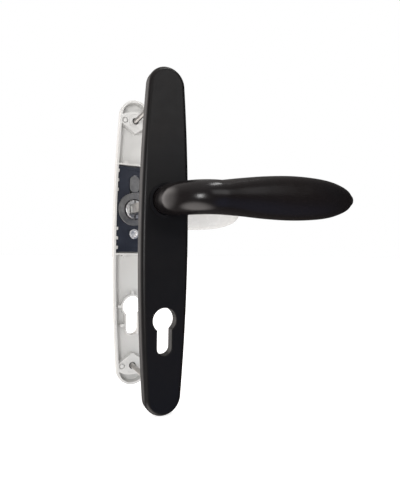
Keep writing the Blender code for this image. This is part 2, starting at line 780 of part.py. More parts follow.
def make_rivet(handle, material):
    """A cup-ended rivet that holds the cassette down in the plate."""
    neck = COVER_FACE - GAP
    profile = [
        (0.0, BODY_BACK),
        (RIVET_SHANK, BODY_BACK),
        (RIVET_SHANK, neck),
        (RIVET_RADIUS, neck),
        (RIVET_RADIUS, RIVET_FACE + GAP),
        (RIVET_RADIUS - RIVET_EDGE, RIVET_FACE),
        (RIVET_CUP + GAP, RIVET_FACE),
        (RIVET_CUP, RIVET_FACE + RIVET_EDGE),
        (RIVET_CUP, RIVET_CUP_DEPTH),
        (0.0, RIVET_CUP_DEPTH),
    ]
    body = turned(handle.prefix + "_cassette_rivet", profile, handle, material, steps=24)
    body.location.y = -handle.up * RIVET_DROP
    return body


def spring_points(up):
    """A leg, the coil and the other leg, as one wire."""
    bend = math.asin(SPRING_LEG_X / SPRING_RADIUS)
    first, last = math.pi / 2 - bend, math.pi / 2 + bend - 4 * math.pi
    rise = SPRING_PITCH * (first - last) / (2 * math.pi)
    points = [(SPRING_LEG_X, SPRING_LEG_TOP, SPRING_BASE)]
    for i in range(SPRING_STEPS + 1):
        share = i / SPRING_STEPS
        angle = first + (last - first) * share
        x, y = SPRING_RADIUS * math.cos(angle), SPRING_RADIUS * math.sin(angle)
        points.append((x, y, SPRING_BASE + rise * share))
    points.append((-SPRING_LEG_X, SPRING_LEG_TOP, SPRING_BASE + rise))
    return [(x, up * y, z) for x, y, z in points]


def make_spring(handle, material):
    """A two-way torsion spring of round wire, with both legs turned outwards."""
    name = handle.prefix + "_return_spring"
    curve = bpy.data.curves.new(name, "CURVE")
    curve.dimensions = "3D"
    curve.bevel_depth = SPRING_WIRE / 2
    curve.bevel_resolution = 1
    curve.use_fill_caps = True
    spline = curve.splines.new("POLY")
    points = spring_points(handle.up)
    spline.points.add(len(points) - 1)
    for point, place_at in zip(spline.points, points):
        point.co = (*place_at, 1.0)
    body = bpy.data.objects.new(name, curve)
    parts.objects.link(body)
    return place(body, handle, material)


# ---------------------------------------------------------------- what joins the two handles

def make_spindle(material):
    """The square bar through the lock, which turns both hubs together."""
    half, reach = SPINDLE_SIZE / 2, SPINDLE_LENGTH / 2
    mesh = slab_mesh("spindle", [box_outline(-half, half, -half, half)], -reach, reach)
    body = link_part("spindle", mesh, None, material)
    body.rotation_euler.x = math.radians(90)
    chamfer = body.modifiers.new("edges", "BEVEL")
    chamfer.width = SPINDLE_CHAMFER
    chamfer.segments = 1
    return body


def make_screw(name, way, inside, material):
    """A countersunk M4 screw with a cross recess, from the inside face into the outside plate."""
    tip = -(DOOR + SCREW_TIP)
    profile = [
        (0.0, HEAD_TOP),
        (HEAD_RADIUS, HEAD_TOP),
        (HEAD_RADIUS, HEAD_TOP - HEAD_EDGE),
        (SCREW_RADIUS, HEAD_FOOT),
        (SCREW_RADIUS, tip + TIP_CHAMFER),
        (SCREW_RADIUS - TIP_CHAMFER, tip),
        (0.0, tip),
    ]
    body = turned(name, profile, inside, material, steps=SMALL_STEPS)
    centre = inside.up * screw_height(way)
    body.location.y = centre
    arm, half = RECESS_ARM, RECESS_HALF
    quarter = [(arm, half), (half, half), (half, arm)]
    cross = []
    for _ in range(4):
        cross += quarter
        quarter = [(-y, x) for x, y in quarter]
    recess = slab(name + "_recess", [cross], HEAD_TOP - RECESS_DEPTH, HEAD_TOP + PAST, inside)
    recess.location.y = centre
    boolean(body, recess)
    return body


def make_handle(prefix, facing, paint, materials):
    """One handle with everything in it. facing is -1 for the outside, +1 for the inside."""
    frame = bpy.data.objects.new(prefix + "_frame", None)
    parts.objects.link(frame)
    frame.location.y = facing * DOOR / 2
    frame.rotation_euler.x = math.radians(-90 * facing)
    handle = Handle(prefix, frame, -facing)
    plate = make_plate(handle, materials[paint + "_plate"])
    screw_holes(handle, plate, through=facing > 0)
    make_lever(handle, materials[paint + "_lever"])
    make_hub(handle, materials["zinc"])
    make_bush(handle, materials["nylon"])
    make_circlip(handle, materials["spring"])
    make_cover(handle, materials["nylon"])
    make_cassette_body(handle, materials["nylon"])
    make_cam(handle, materials["cam"])
    make_anchor(handle, materials["cam"])
    make_rivet(handle, materials["zinc"])
    make_spring(handle, materials["spring"])
    return handle


def main():
    materials = make_materials()
    make_handle("outside", -1, "outside", materials)
    inside = make_handle("inside", 1, "inside", materials)
    make_spindle(materials["steel"])
    make_screw("upper_screw", 1, inside, materials["steel"])
    make_screw("lower_screw", -1, inside, materials["steel"])


clear_scene()
parts = add_collection("lever_handle_pair")
cutters = add_collection("cutters")
main()
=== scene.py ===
"""Looks for the pair of sprung lever handles on long plates.

Each handle is built in plate coordinates: x, height above the spindle, and distance out of the door from the
plate's rim. Then it is laid on its side of the door, -1 for the outside handle and +1 for the inside one.
Units are metres.
"""

import math

import bmesh
import bpy
from mathutils import Matrix, Vector


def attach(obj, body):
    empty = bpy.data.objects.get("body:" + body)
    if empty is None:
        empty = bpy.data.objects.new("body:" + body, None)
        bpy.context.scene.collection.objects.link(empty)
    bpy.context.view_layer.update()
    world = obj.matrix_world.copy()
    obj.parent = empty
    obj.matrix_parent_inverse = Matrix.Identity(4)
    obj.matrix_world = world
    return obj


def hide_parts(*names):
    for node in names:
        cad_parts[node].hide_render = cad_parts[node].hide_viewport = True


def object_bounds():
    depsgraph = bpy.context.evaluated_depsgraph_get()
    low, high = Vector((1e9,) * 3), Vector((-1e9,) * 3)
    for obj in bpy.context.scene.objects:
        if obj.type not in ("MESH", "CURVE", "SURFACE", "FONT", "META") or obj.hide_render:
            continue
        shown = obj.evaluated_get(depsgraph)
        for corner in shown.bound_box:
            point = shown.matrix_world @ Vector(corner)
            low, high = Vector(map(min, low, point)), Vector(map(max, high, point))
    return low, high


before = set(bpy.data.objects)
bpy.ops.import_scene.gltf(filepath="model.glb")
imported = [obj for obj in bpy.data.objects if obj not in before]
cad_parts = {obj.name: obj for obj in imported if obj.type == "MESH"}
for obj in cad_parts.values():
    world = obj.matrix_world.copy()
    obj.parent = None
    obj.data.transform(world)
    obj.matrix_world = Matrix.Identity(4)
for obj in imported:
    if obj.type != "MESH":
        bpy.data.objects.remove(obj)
cad_low, cad_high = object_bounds()

# Door and plates, as in the CAD source: convex long sides that run into full-round ends
HALF_DOOR = 0.035
GAP = 0.0003
PLATE_HEIGHT = 0.250
PLATE_TOP = 0.096
PLATE_MIDDLE = PLATE_TOP - PLATE_HEIGHT / 2
PLATE_HALF_WIDTH = 0.018
PLATE_DEPTH = 0.009
PLATE_WALL = 0.0022
PLATE_FLOOR = PLATE_DEPTH - PLATE_WALL
SIDE_RADIUS = 1.469
EDGE_RADIUS = 0.0035
FLOOR_FILLET = 0.0010
WALL_DRAFT = 0.0002
RIM_EDGE = 0.0003

# Cast detail on the plate's door side, sunk into the floor by different depths so that no faces meet flush
CAST_SUNK = 0.0006
FOOT_SUNK = 0.0003
LUG_SUNK = 0.0004
WALL_LAP = 0.001
BOSS_FACE = 0.0003
BOSS_EDGE = 0.0005
BOSS_CROWN = 0.0081
BOSS_ARCH = 0.0039
BOSS_SIDE = 0.0020
BOSS_POINT = 0.0107
BOSS_BLUNT = (0.0008, 0.01055)
BOSS_STEPS = 24
PIP_RADIUS = 0.0017
PIP_WELL = 0.0026
PIP_OFFSET = 0.0094
PIP_DEPTH = 0.0018
RIB_FACE = 0.0002
RIB_EDGE = 0.00025
RIB_HEIGHT = 0.0385
RIB_THICKNESS = 0.0016
RIB_BUMP_OFFSET = 0.008
RIB_BUMP_RADIUS = 0.0019
LUG_PLACES = (0.017, 0.0253, 0.0336)
LUG_HEIGHT = 0.0028
LUG_REACH_UPPER = 0.0006
LUG_REACH_LOWER = 0.0012
LUG_CORNER = 0.0004
LUG_EDGE = 0.0002
BEARING_BACK = 0.004
BEARING_EDGE = 0.0003

# Euro-profile keyhole, its collar and the collar's feet
CYLINDER_DROP = 0.0853
KEY_RADIUS = 0.0088
KEY_SLOT = 0.0055
KEY_DROP = 0.0252
KEY_EDGE = 0.0006
COLLAR_WALL = 0.0015
COLLAR_DEPTH = 0.0075
COLLAR_EDGE = 0.0004
FOOT_RADIUS = 0.0013
FOOT_REACH = 0.0121
FOOT_SET_BACK = 0.0004
SLOT_FOOT_REACH = 0.0096
SLOT_FOOT_DROP = 0.0166

# Spindle, hub and bearing
SPINDLE_SIZE = 0.008
SPINDLE_LENGTH = 0.104
SPINDLE_EDGE = 0.0004
SPINDLE_END_BEVEL = 0.0006
HUB_RADIUS = 0.0080
HUB_FOOT = -0.0006
HUB_EDGE = 0.0004
HUB_SPIGOT = 0.0070
HUB_SPIGOT_TOP = 0.0185
HUB_SQUARE = 0.0085
HUB_FLARE = 0.0003
HUB_FLARE_DEPTH = 0.0004
HUB_SLOT_HALF = 0.0009
HUB_SLOT_INNER = 0.003
HUB_SLOT_DEPTH = 0.0030
GROOVE_DEPTH = 0.0008
GROOVE_LOW = 0.0044
GROOVE_HIGH = 0.0057
CIRCLIP_LOW = 0.0046
CIRCLIP_HIGH = 0.0055
CIRCLIP_INNER = 0.0075
CIRCLIP_OUTER = 0.0107
CIRCLIP_OPENING = 44
CIRCLIP_CORNER = 0.0003
CIRCLIP_EDGE = 0.0001
NECK_RADIUS = 0.0103
NECK_START = 0.0062
NECK_BORE_LOW = 0.005
NECK_BORE_HIGH = 0.020
NECK_BORE_EDGE = 0.0005
BUSH_RADIUS = 0.0115
BUSH_FLANGE = 0.0128
BUSH_HEIGHT = 0.0009
BUSH_FOOT = 0.0060
BUSH_EDGE = 0.00035

# Spring cassette
CASSETTE_HALF_HEIGHT = 0.0374
CASSETTE_CORNER = 0.0003
CASSETTE_EDGE = 0.0002
COVER_FACE = 0.0009
COVER_BACK = 0.0020
COVER_SUNK_HALF = 0.0055
COVER_SUNK_CORNER = 0.0012
COVER_SUNK_DEPTH = 0.0005
COVER_SUNK_SPANS = ((0.0165, 0.0345), (-0.0345, -0.0175))
BODY_FRONT = 0.0023
BODY_BACK = 0.0063
COIL_SPACE = 0.0137
FAN_SPACE = 0.0162
FAN_HALF_ANGLE = 56
CAM_RADIUS = 0.0143
CAM_BORE = 0.0091
CAM_FACE = 0.0004
CAM_BACK = 0.0016
CAM_EDGE = 0.0003
SLEEVE_RADIUS = 0.0104
SLEEVE_BACK = 0.0040
TAB_INNER = 0.0133
TAB_OUTER = 0.0141
TAB_HALF_ANGLE = 10.5
TAB_DEPTH = (0.0010, 0.0056)
DRIVE_KEY_HALF = 0.0006
DRIVE_KEY_REACH = (0.0055, 0.0099)
DRIVE_KEY_DEPTH = (0.0019, 0.0028)
DRIVE_KEY_EDGE = 0.0001
ANCHOR_HALF_WIDTH = 0.0042
ANCHOR_TOP = 0.0297
ANCHOR_FACE = 0.0005
ANCHOR_BACK = 0.0018
ANCHOR_EDGE = 0.00035
ANCHOR_SEAT_HALF = 0.0033
ANCHOR_STEM_HALF = 0.0030
ANCHOR_STEM_FACE = 0.0015
ANCHOR_STEM_FOOT = 0.0175
ANCHOR_NOSE_HALF = 0.0024
ANCHOR_NOSE = (0.0146, 0.0168)
SEAT_FOOT = 0.012
RIVET_DROP = 0.0216
RIVET_RADIUS = 0.00425
RIVET_SHANK = 0.0030
RIVET_FACE = -0.0001
RIVET_EDGE = 0.0004
RIVET_LIP = 0.0023
RIVET_CUP = 0.0021
RIVET_CUP_DEPTH = 0.0020
SPRING_WIRE = 0.0012
SPRING_RADIUS = 0.0126
SPRING_PITCH = 0.0014
SPRING_TURNS = 2
SPRING_BASE = 0.0028
SPRING_LEG_X = 0.0034
SPRING_LEG_TOP = 0.0156
SPRING_STEPS = 180
SPRING_SIDES = 14

# Screws: M4, countersunk in the inside plate and driven into blind holes in the outside one
SCREW_HALF_SPACING = 0.1075
SCREW_MIDDLE = -0.0297
SCREW_RADIUS = 0.0020
SCREW_HOLE_TOP = 0.0064
SCREW_HOLE_STEP = 0.0052
SCREW_MOUTH = 0.0028
MOUTH_BEVEL = 0.0003
BLIND_BEVEL = 0.0004
MOUTH_STEP = (0.0058, 0.0062)
MOUTH_STEP_DEPTH = 0.00055
HEAD_RADIUS = 0.0040
HEAD_TOP = 0.00875
HEAD_RIM = 0.0004
HEAD_CORNER = 0.0001
HEAD_EDGE = 0.00015
HEAD_FOOT = 0.0066
SEAT_EDGE = 0.0003
SCREW_TIP = 0.0060
SCREW_SIDES = 32
TIP_CHAMFER = 0.0006
THREAD_PITCH = 0.0007
THREAD_DEPTH = 0.00025
THREAD_TOP = 0.0040
THREAD_FADE = 1.5
THREAD_SAMPLES = 6
RECESS_ARM = 0.0020
RECESS_HALF = 0.00045
RECESS_DEPTH = 0.0018
RECESS_TAPER = 0.6

# How far a cutter reaches past a face, and the depths between which one goes through the lid and the case
PAST = 0.001
LID_CUT = (-PAST, COVER_BACK + PAST)
CASE_CUT = (0.001, 0.008)

# Lever, as in the CAD source: the neck leaves the plate, bends through a quarter circle and runs to the tip
GRIP_DEPTH = 0.050
BEND_RADIUS = 0.022
# Along the lever: neck distance out of the door, or grip distance along X; half height; half thickness; rise
NECK_STATIONS = (
    (NECK_START, NECK_RADIUS, NECK_RADIUS, 0.0),
    (0.0100, NECK_RADIUS, NECK_RADIUS, 0.0),
    (0.0180, 0.0112, 0.0102, -0.0003),
    (0.0280, 0.0112, 0.0102, -0.0012),
)
GRIP_STATIONS = (
    (0.0220, 0.0112, 0.0092, -0.0007),
    (0.0360, 0.0126, 0.0081, 0.0003),
    (0.0550, 0.0145, 0.0074, 0.0012),
    (0.0760, 0.0156, 0.0069, 0.0021),
    (0.0950, 0.0152, 0.0065, 0.0028),
    (0.1100, 0.0137, 0.0060, 0.0033),
    (0.1210, 0.0110, 0.0051, 0.0037),
    (0.1290, 0.0075, 0.0039, 0.0039),
    (0.1335, 0.0034, 0.0020, 0.0040),
)
TIP = 0.1345
NECK_STEPS = 18
BEND_STEPS = 36
GRIP_STEPS = 90
GRIP_CROWDING = 1.4
TIP_STEPS = 7
LEVER_SIDES = 72

# Mesh work: the angle in degrees above which a corner isn't rounded, the share of a side that a rounded corner
# may take, the least cosine at a mitre, distances for cleaning up, and the angle in degrees of a sharp edge
FLAT_CORNER = 150
CORNER_SHARE = 0.45
MITRE_LIMIT = 0.35
SAME_PLACE = 1e-7
TINY = 1e-6
MERGE_DISTANCE = 2e-6
SHARP_ANGLE = 32


# ---------------------------------------------------------------- outlines

def arc(centre_x, centre_y, radius, start, stop, steps):
    """Points along an arc, angles in degrees, both ends included."""
    angles = [math.radians(start + (stop - start) * i / steps) for i in range(steps + 1)]
    return [(centre_x + radius * math.cos(a), centre_y + radius * math.sin(a)) for a in angles]


def circle(x, y, radius, steps=48):
    return arc(x, y, radius, 0, 360, steps)[:-1]


def quarter(steps):
    """Cosine and sine at even steps of a quarter turn."""
    angles = [math.pi / 2 * i / steps for i in range(steps + 1)]
    return [(math.cos(a), math.sin(a)) for a in angles]


def box_outline(left, right, bottom, top):
    return [(left, bottom), (right, bottom), (right, top), (left, top)]


def end_radius():
    """Radius of the plate's round end, which touches both long sides."""
    half = PLATE_HEIGHT / 2
    side = SIDE_RADIUS - PLATE_HALF_WIDTH
    return (SIDE_RADIUS**2 - side**2 - half**2) / (2 * (SIDE_RADIUS - half))


def half_width(height):
    rise = height - PLATE_MIDDLE
    return PLATE_HALF_WIDTH - SIDE_RADIUS + math.sqrt(SIDE_RADIUS**2 - rise**2)


def plate_loop(inset):
    round_end = end_radius()
    reach = PLATE_HEIGHT / 2 - round_end
    turn = math.degrees(math.asin(reach / (SIDE_RADIUS - round_end)))
    side_x = PLATE_HALF_WIDTH - SIDE_RADIUS
    right = arc(side_x, 0, SIDE_RADIUS - inset, -turn, turn, 56)
    top = arc(0, reach, round_end - inset, turn, 180 - turn, 40)
    half = right[:-1] + top[:-1]
    loop = half + [(-x, -y) for x, y in half]
    return [(x, y + PLATE_MIDDLE) for x, y in loop]


def keyhole_loop(grow):
    radius = KEY_RADIUS + grow
    slot = KEY_SLOT + grow
    meet = math.degrees(math.asin(math.sqrt(radius**2 - slot**2) / radius))
    head = arc(0, 0, radius, -meet, 180 + meet, 64)
    foot = arc(0, KEY_SLOT - KEY_DROP, slot, 180, 360, 28)
    return [(x, y - CYLINDER_DROP) for x, y in head + foot]


def screw_height(way):
    return SCREW_MIDDLE + way * SCREW_HALF_SPACING


def boss_loop(outward):
    """A boss across the plate: a crown towards the plate's end, and a blunt V towards its middle."""
    centre = screw_height(outward)
    reach = half_width(centre) - PLATE_WALL + WALL_LAP
    blunt_half, blunt_drop = BOSS_BLUNT
    shares = [i / BOSS_STEPS - 1 for i in range(2 * BOSS_STEPS + 1)]
    crown = [(s * reach, centre + outward * (BOSS_CROWN - BOSS_ARCH * s * s)) for s in shares]
    corners = [(reach, BOSS_SIDE), (blunt_half, blunt_drop), (0.0, BOSS_POINT)]
    corners += [(-blunt_half, blunt_drop), (-reach, BOSS_SIDE)]
    return crown + [(x, centre - outward * drop) for x, drop in corners]


def rib_loop(way):
    """A thin rib across the plate, with two half-round bumps towards the plate's end."""
    low, high = way * RIB_HEIGHT, way * (RIB_HEIGHT + RIB_THICKNESS)
    reach = half_width(low) - PLATE_WALL + WALL_LAP
    points = [(-reach, low), (reach, low), (reach, high)]
    for x in (RIB_BUMP_OFFSET, -RIB_BUMP_OFFSET):
        bump = arc(x, 0, RIB_BUMP_RADIUS, 0, 180, 20)
        points += [(bump_x, high + way * bump_y) for bump_x, bump_y in bump]
    points.append((-reach, high))
    return points


def lug_rows():
    """Height and reach of the lugs on each inner wall, upwards."""
    lower = [(-y, LUG_REACH_LOWER) for y in reversed(LUG_PLACES)]
    return lower + [(y, LUG_REACH_UPPER) for y in LUG_PLACES]


def cassette_loop():
    """The cassette's outline: it follows the plate's walls, with a notch for each lug."""
    def edge(height):
        return half_width(height) - PLATE_WALL - GAP

    notch_half = LUG_HEIGHT / 2 + GAP
    bottom, top = -CASSETTE_HALF_HEIGHT, CASSETTE_HALF_HEIGHT
    right = [(edge(bottom), bottom)]
    for middle, reach in lug_rows():
        low, high = middle - notch_half, middle + notch_half
        depth = reach + GAP
        right += [(edge(low), low), (edge(low) - depth, low)]
        right += [(edge(high) - depth, high), (edge(high), high)]
    right.append((edge(top), top))
    return right + [(-x, y) for x, y in reversed(right)]


def soften(points, radius, closed=True, steps=4):
    """Round the corners of a 2D line, except those that are nearly straight."""
    count = len(points)
    result = []
    for i, point in enumerate(points):
        if not closed and i in (0, count - 1):
            result.append(point)
            continue
        here = Vector(point)
        before = Vector(points[i - 1]) - here
        after = Vector(points[(i + 1) % count]) - here
        angle = before.angle(after, math.pi)
        if angle > math.radians(FLAT_CORNER):
            result.append(point)
            continue
        cut = min(radius / math.tan(angle / 2), CORNER_SHARE * before.length, CORNER_SHARE * after.length)
        start, stop = here + before.normalized() * cut, here + after.normalized() * cut
        inwards = (before.normalized() + after.normalized()).normalized()
        centre = here + inwards * (cut / math.cos(angle / 2))
        first, last = start - centre, stop - centre
        swing = math.atan2(first.x * last.y - first.y * last.x, first.dot(last))
        for k in range(steps + 1):
            a = swing * k / steps
            result.append((
                centre.x + first.x * math.cos(a) - first.y * math.sin(a),
                centre.y + first.x * math.sin(a) + first.y * math.cos(a),
            ))
    return result


def area(loop):
    return sum(a[0] * b[1] - b[0] * a[1] for a, b in zip(loop, loop[1:] + loop[:1])) / 2


def inset_loop(loop, amount):
    """The loop moved inwards by an amount, outwards if it is negative."""
    way = 1 if area(loop) > 0 else -1
    result = []
    count = len(loop)
    for i in range(count):
        here = Vector(loop[i])
        first = (here - Vector(loop[i - 1])).normalized()
        second = (Vector(loop[(i + 1) % count]) - here).normalized()
        normal = Vector((-(first.y + second.y), first.x + second.x)) * way
        length = normal.length
        if length < TINY:
            result.append((here.x, here.y))
            continue
        normal /= length
        cosine = max(MITRE_LIMIT, normal.dot(Vector((-first.y, first.x)) * way))
        moved = here + normal * (amount / cosine)
        result.append((moved.x, moved.y))
    return result


# ---------------------------------------------------------------- meshes in plate coordinates

def mesh_from(work, name):
    """A mesh from a bmesh, which is used up."""
    mesh = bpy.data.meshes.new(name)
    work.to_mesh(mesh)
    work.free()
    return mesh


def add_object(name, data):
    made = bpy.data.objects.new(name, data)
    bpy.context.scene.collection.objects.link(made)
    return made


def skin(rings):
    """A closed mesh from rings of points, in order, with a flat face on each end."""
    work = bmesh.new()
    made = [[work.verts.new(point) for point in ring] for ring in rings]
    for first, second in zip(made, made[1:]):
        for k in range(len(first)):
            after = (k + 1) % len(first)
            work.faces.new((first[k], first[after], second[after], second[k]))
    work.faces.new(made[0])
    work.faces.new(made[-1])
    bmesh.ops.recalc_face_normals(work, faces=work.faces)
    return mesh_from(work, "skin")


def flat_ring(loop, depth):
    return [(x, y, depth) for x, y in loop]


def rounded_slab(loop, low, high, low_round=0.0, high_round=0.0, steps=3):
    """A slab of an outline between two depths, with rounded end edges."""
    lower, upper = [(0.0, low)], [(0.0, high)]
    if low_round:
        lower = [(low_round * (1 - s), low + low_round * (1 - c)) for c, s in quarter(steps)]
    if high_round:
        upper = [(high_round * (1 - c), high - high_round * (1 - s)) for c, s in quarter(steps)]
    return skin([flat_ring(inset_loop(loop, shift), depth) for shift, depth in lower + upper])


def hole_tool(loop, low, face, flare, steps=4):
    """A cutter that goes in at a face from above, and rounds the edge that it leaves there."""
    rings = [flat_ring(loop, low)]
    for c, s in quarter(steps):
        rings.append(flat_ring(inset_loop(loop, -flare * (1 - c)), face - flare * (1 - s)))
    rings.append(flat_ring(inset_loop(loop, -flare), face + 2 * PAST))
    return skin(rings)


def lathe(profile, x=0.0, y=0.0, steps=96, closed=False):
    """A (radius, depth) profile turned round an axis out of the door."""
    work = bmesh.new()
    made = []
    for k in range(steps):
        a = 2 * math.pi * k / steps
        made.append([work.verts.new((x + r * math.cos(a), y + r * math.sin(a), d)) for r, d in profile])
    count = len(profile)
    spans = [(i, (i + 1) % count) for i in range(count if closed else count - 1)]
    for k in range(steps):
        first, second = made[k], made[(k + 1) % steps]
        for i, j in spans:
            work.faces.new((first[i], first[j], second[j], second[i]))
    bmesh.ops.remove_doubles(work, verts=work.verts, dist=SAME_PLACE)
    bmesh.ops.recalc_face_normals(work, faces=work.faces)
    return mesh_from(work, "lathe")


def joined(meshes):
    """One mesh from several that don't touch."""
    work = bmesh.new()
    for mesh in meshes:
        work.from_mesh(mesh)
    return mesh_from(work, "joined")


def combined(mesh, steps):
    """Boolean steps, each an (operation, mesh), worked out and baked into one mesh."""
    body = add_object("work", mesh)
    tools = []
    for operation, other in steps:
        tool = add_object("tool", other)
        tools.append(tool)
        change = body.modifiers.new("step", "BOOLEAN")
        change.operation = operation
        change.solver = "EXACT"
        change.object = tool
    seen = body.evaluated_get(bpy.context.evaluated_depsgraph_get())
    result = bpy.data.meshes.new_from_object(seen)
    for each in [body, *tools]:
        bpy.data.objects.remove(each, do_unlink=True)
    work = bmesh.new()
    work.from_mesh(result)
    bmesh.ops.remove_doubles(work, verts=work.verts, dist=MERGE_DISTANCE)
    bmesh.ops.dissolve_degenerate(work, dist=TINY, edges=work.edges)
    return mesh_from(work, "combined")


def add_piece(name, mesh, side, material, body, nodes, weighted=True):
    """Lay a mesh on its side of the door, or leave it as it is if side is 0, hide the CAD parts that it stands
    in for and hang it on its body.

    weighted gives it weighted normals, which suit pieces with flat faces.
    """
    work = bmesh.new()
    work.from_mesh(mesh)
    if side:
        for corner in work.verts:
            x, height, depth = corner.co
            corner.co = (x, side * (HALF_DOOR + depth), height)
    bmesh.ops.recalc_face_normals(work, faces=work.faces)
    final = mesh_from(work, name)
    final.materials.append(material)
    for face in final.polygons:
        face.material_index = 0
    final.shade_smooth()
    final.set_sharp_from_angle(angle=math.radians(SHARP_ANGLE))
    piece = add_object(name, final)
    if weighted:
        normals = piece.modifiers.new("normals", "WEIGHTED_NORMAL")
        normals.keep_sharp = True
    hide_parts(*nodes)
    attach(piece, body)


# ---------------------------------------------------------------- materials

class Shader:
    """A node tree with a Principled shader and short ways to feed it."""

    def __init__(self, name):
        self.material = bpy.data.materials.new(name)
        self.material.use_nodes = True
        self.tree = self.material.node_tree
        self.shader = self.tree.nodes["Principled BSDF"]
        self.coordinates = self.tree.nodes.new("ShaderNodeTexCoord").outputs["Object"]

    def link(self, out, into):
        self.tree.links.new(out, into)

    def stretched(self, scale):
        mapping = self.tree.nodes.new("ShaderNodeMapping")
        mapping.inputs["Scale"].default_value = scale
        self.link(self.coordinates, mapping.inputs["Vector"])
        return mapping.outputs["Vector"]

    def noise(self, scale, detail=3.0, roughness=0.5, vector=None):
        made = self.tree.nodes.new("ShaderNodeTexNoise")
        made.inputs["Scale"].default_value = scale
        made.inputs["Detail"].default_value = detail
        made.inputs["Roughness"].default_value = roughness
        self.link(vector or self.coordinates, made.inputs["Vector"])
        return made.outputs["Fac"]

    def ramp(self, value, low, high, out_low=0.0, out_high=1.0):
        made = self.tree.nodes.new("ShaderNodeMapRange")
        for key, number in (("From Min", low), ("From Max", high), ("To Min", out_low), ("To Max", out_high)):
            made.inputs[key].default_value = number
        self.link(value, made.inputs["Value"])
        return made.outputs["Result"]

    def mix(self, share, first, second):
        made = self.tree.nodes.new("ShaderNodeMix")
        made.data_type = "RGBA"
        self.link(share, made.inputs["Factor"])
        for socket, colour in ((made.inputs[6], first), (made.inputs[7], second)):
            if isinstance(colour, tuple):
                socket.default_value = (*colour, 1.0)
            else:
                self.link(colour, socket)
        return made.outputs[2]

    def bump(self, layers):
        """Stacked bumps, each a (height, distance in metres, strength)."""
        normal = None
        for height, distance, strength in layers:
            made = self.tree.nodes.new("ShaderNodeBump")
            made.inputs["Distance"].default_value = distance
            made.inputs["Strength"].default_value = strength
            self.link(height, made.inputs["Height"])
            if normal:
                self.link(normal, made.inputs["Normal"])
            normal = made.outputs["Normal"]
        self.link(normal, self.shader.inputs["Normal"])

    def set(self, **values):
        for key, value in values.items():
            self.shader.inputs[key.replace("_", " ")].default_value = value

    def feed(self, name, out):
        self.link(out, self.shader.inputs[name])


def powder_coat(name, colour, warm, cool, rough, specular, peel):
    """Satin powder coat: fine orange peel, faint clouding of colour and gloss."""
    made = Shader(name)
    cloud = made.ramp(made.noise(38.0), 0.32, 0.68)
    drift = made.ramp(made.noise(11.0, detail=2.0), 0.35, 0.65)
    tint = made.mix(drift, warm, cool)
    made.feed("Base Color", made.mix(made.ramp(cloud, 0, 1, out_high=0.55), colour, tint))
    smear = made.noise(120.0, detail=4.0, roughness=0.6)
    made.feed("Roughness", made.ramp(smear, 0.3, 0.7, rough - 0.035, rough + 0.045))
    made.set(Specular_IOR_Level=specular)
    wave = made.noise(900.0, detail=2.0, roughness=0.45)
    grain = made.noise(4200.0, detail=2.0, roughness=0.6)
    made.bump([(wave, 0.00003, peel), (grain, 0.000006, peel)])
    return made.material


def cast_metal(name, dark, light, rough, grain=0.3):
    """Bare zinc casting: mottled, with a fine skin and soft tarnish."""
    made = Shader(name)
    mottle = made.ramp(made.noise(260.0, detail=4.0, roughness=0.6), 0.3, 0.7)
    made.feed("Base Color", made.mix(mottle, dark, light))
    made.feed("Roughness", made.ramp(made.noise(546.0), 0.3, 0.7, rough - 0.06, rough + 0.08))
    made.set(Metallic=1.0)
    skin_height = made.noise(1500.0, roughness=0.55)
    made.bump([(skin_height, 0.00002, grain), (made.noise(6000.0, detail=2.0), 0.000006, grain)])
    return made.material


def drawn_steel(name, dark, light, rough, stretch, scratch=0.25):
    """Plated or drawn steel with fine marks along its length."""
    made = Shader(name)
    marks = made.noise(1.0, roughness=0.6, vector=made.stretched(stretch))
    patina = made.ramp(made.noise(180.0), 0.35, 0.7)
    made.feed("Base Color", made.mix(patina, dark, light))
    made.feed("Roughness", made.ramp(marks, 0.3, 0.7, rough - 0.07, rough + 0.1))
    made.set(Metallic=1.0)
    made.bump([(marks, 0.000008, scratch)])
    return made.material


def moulded_nylon(name, dark, light, rough, specular):
    """Black moulded nylon: fine spark texture and a few paler rubs."""
    made = Shader(name)
    cloud = made.ramp(made.noise(90.0, detail=4.0, roughness=0.6), 0.35, 0.72)
    made.feed("Base Color", made.mix(cloud, dark, light))
    made.feed("Roughness", made.ramp(made.noise(420.0), 0.3, 0.7, rough - 0.06, rough + 0.06))
    made.set(Specular_IOR_Level=specular)
    made.bump([(made.noise(2600.0, roughness=0.6), 0.000015, 0.4)])
    return made.material


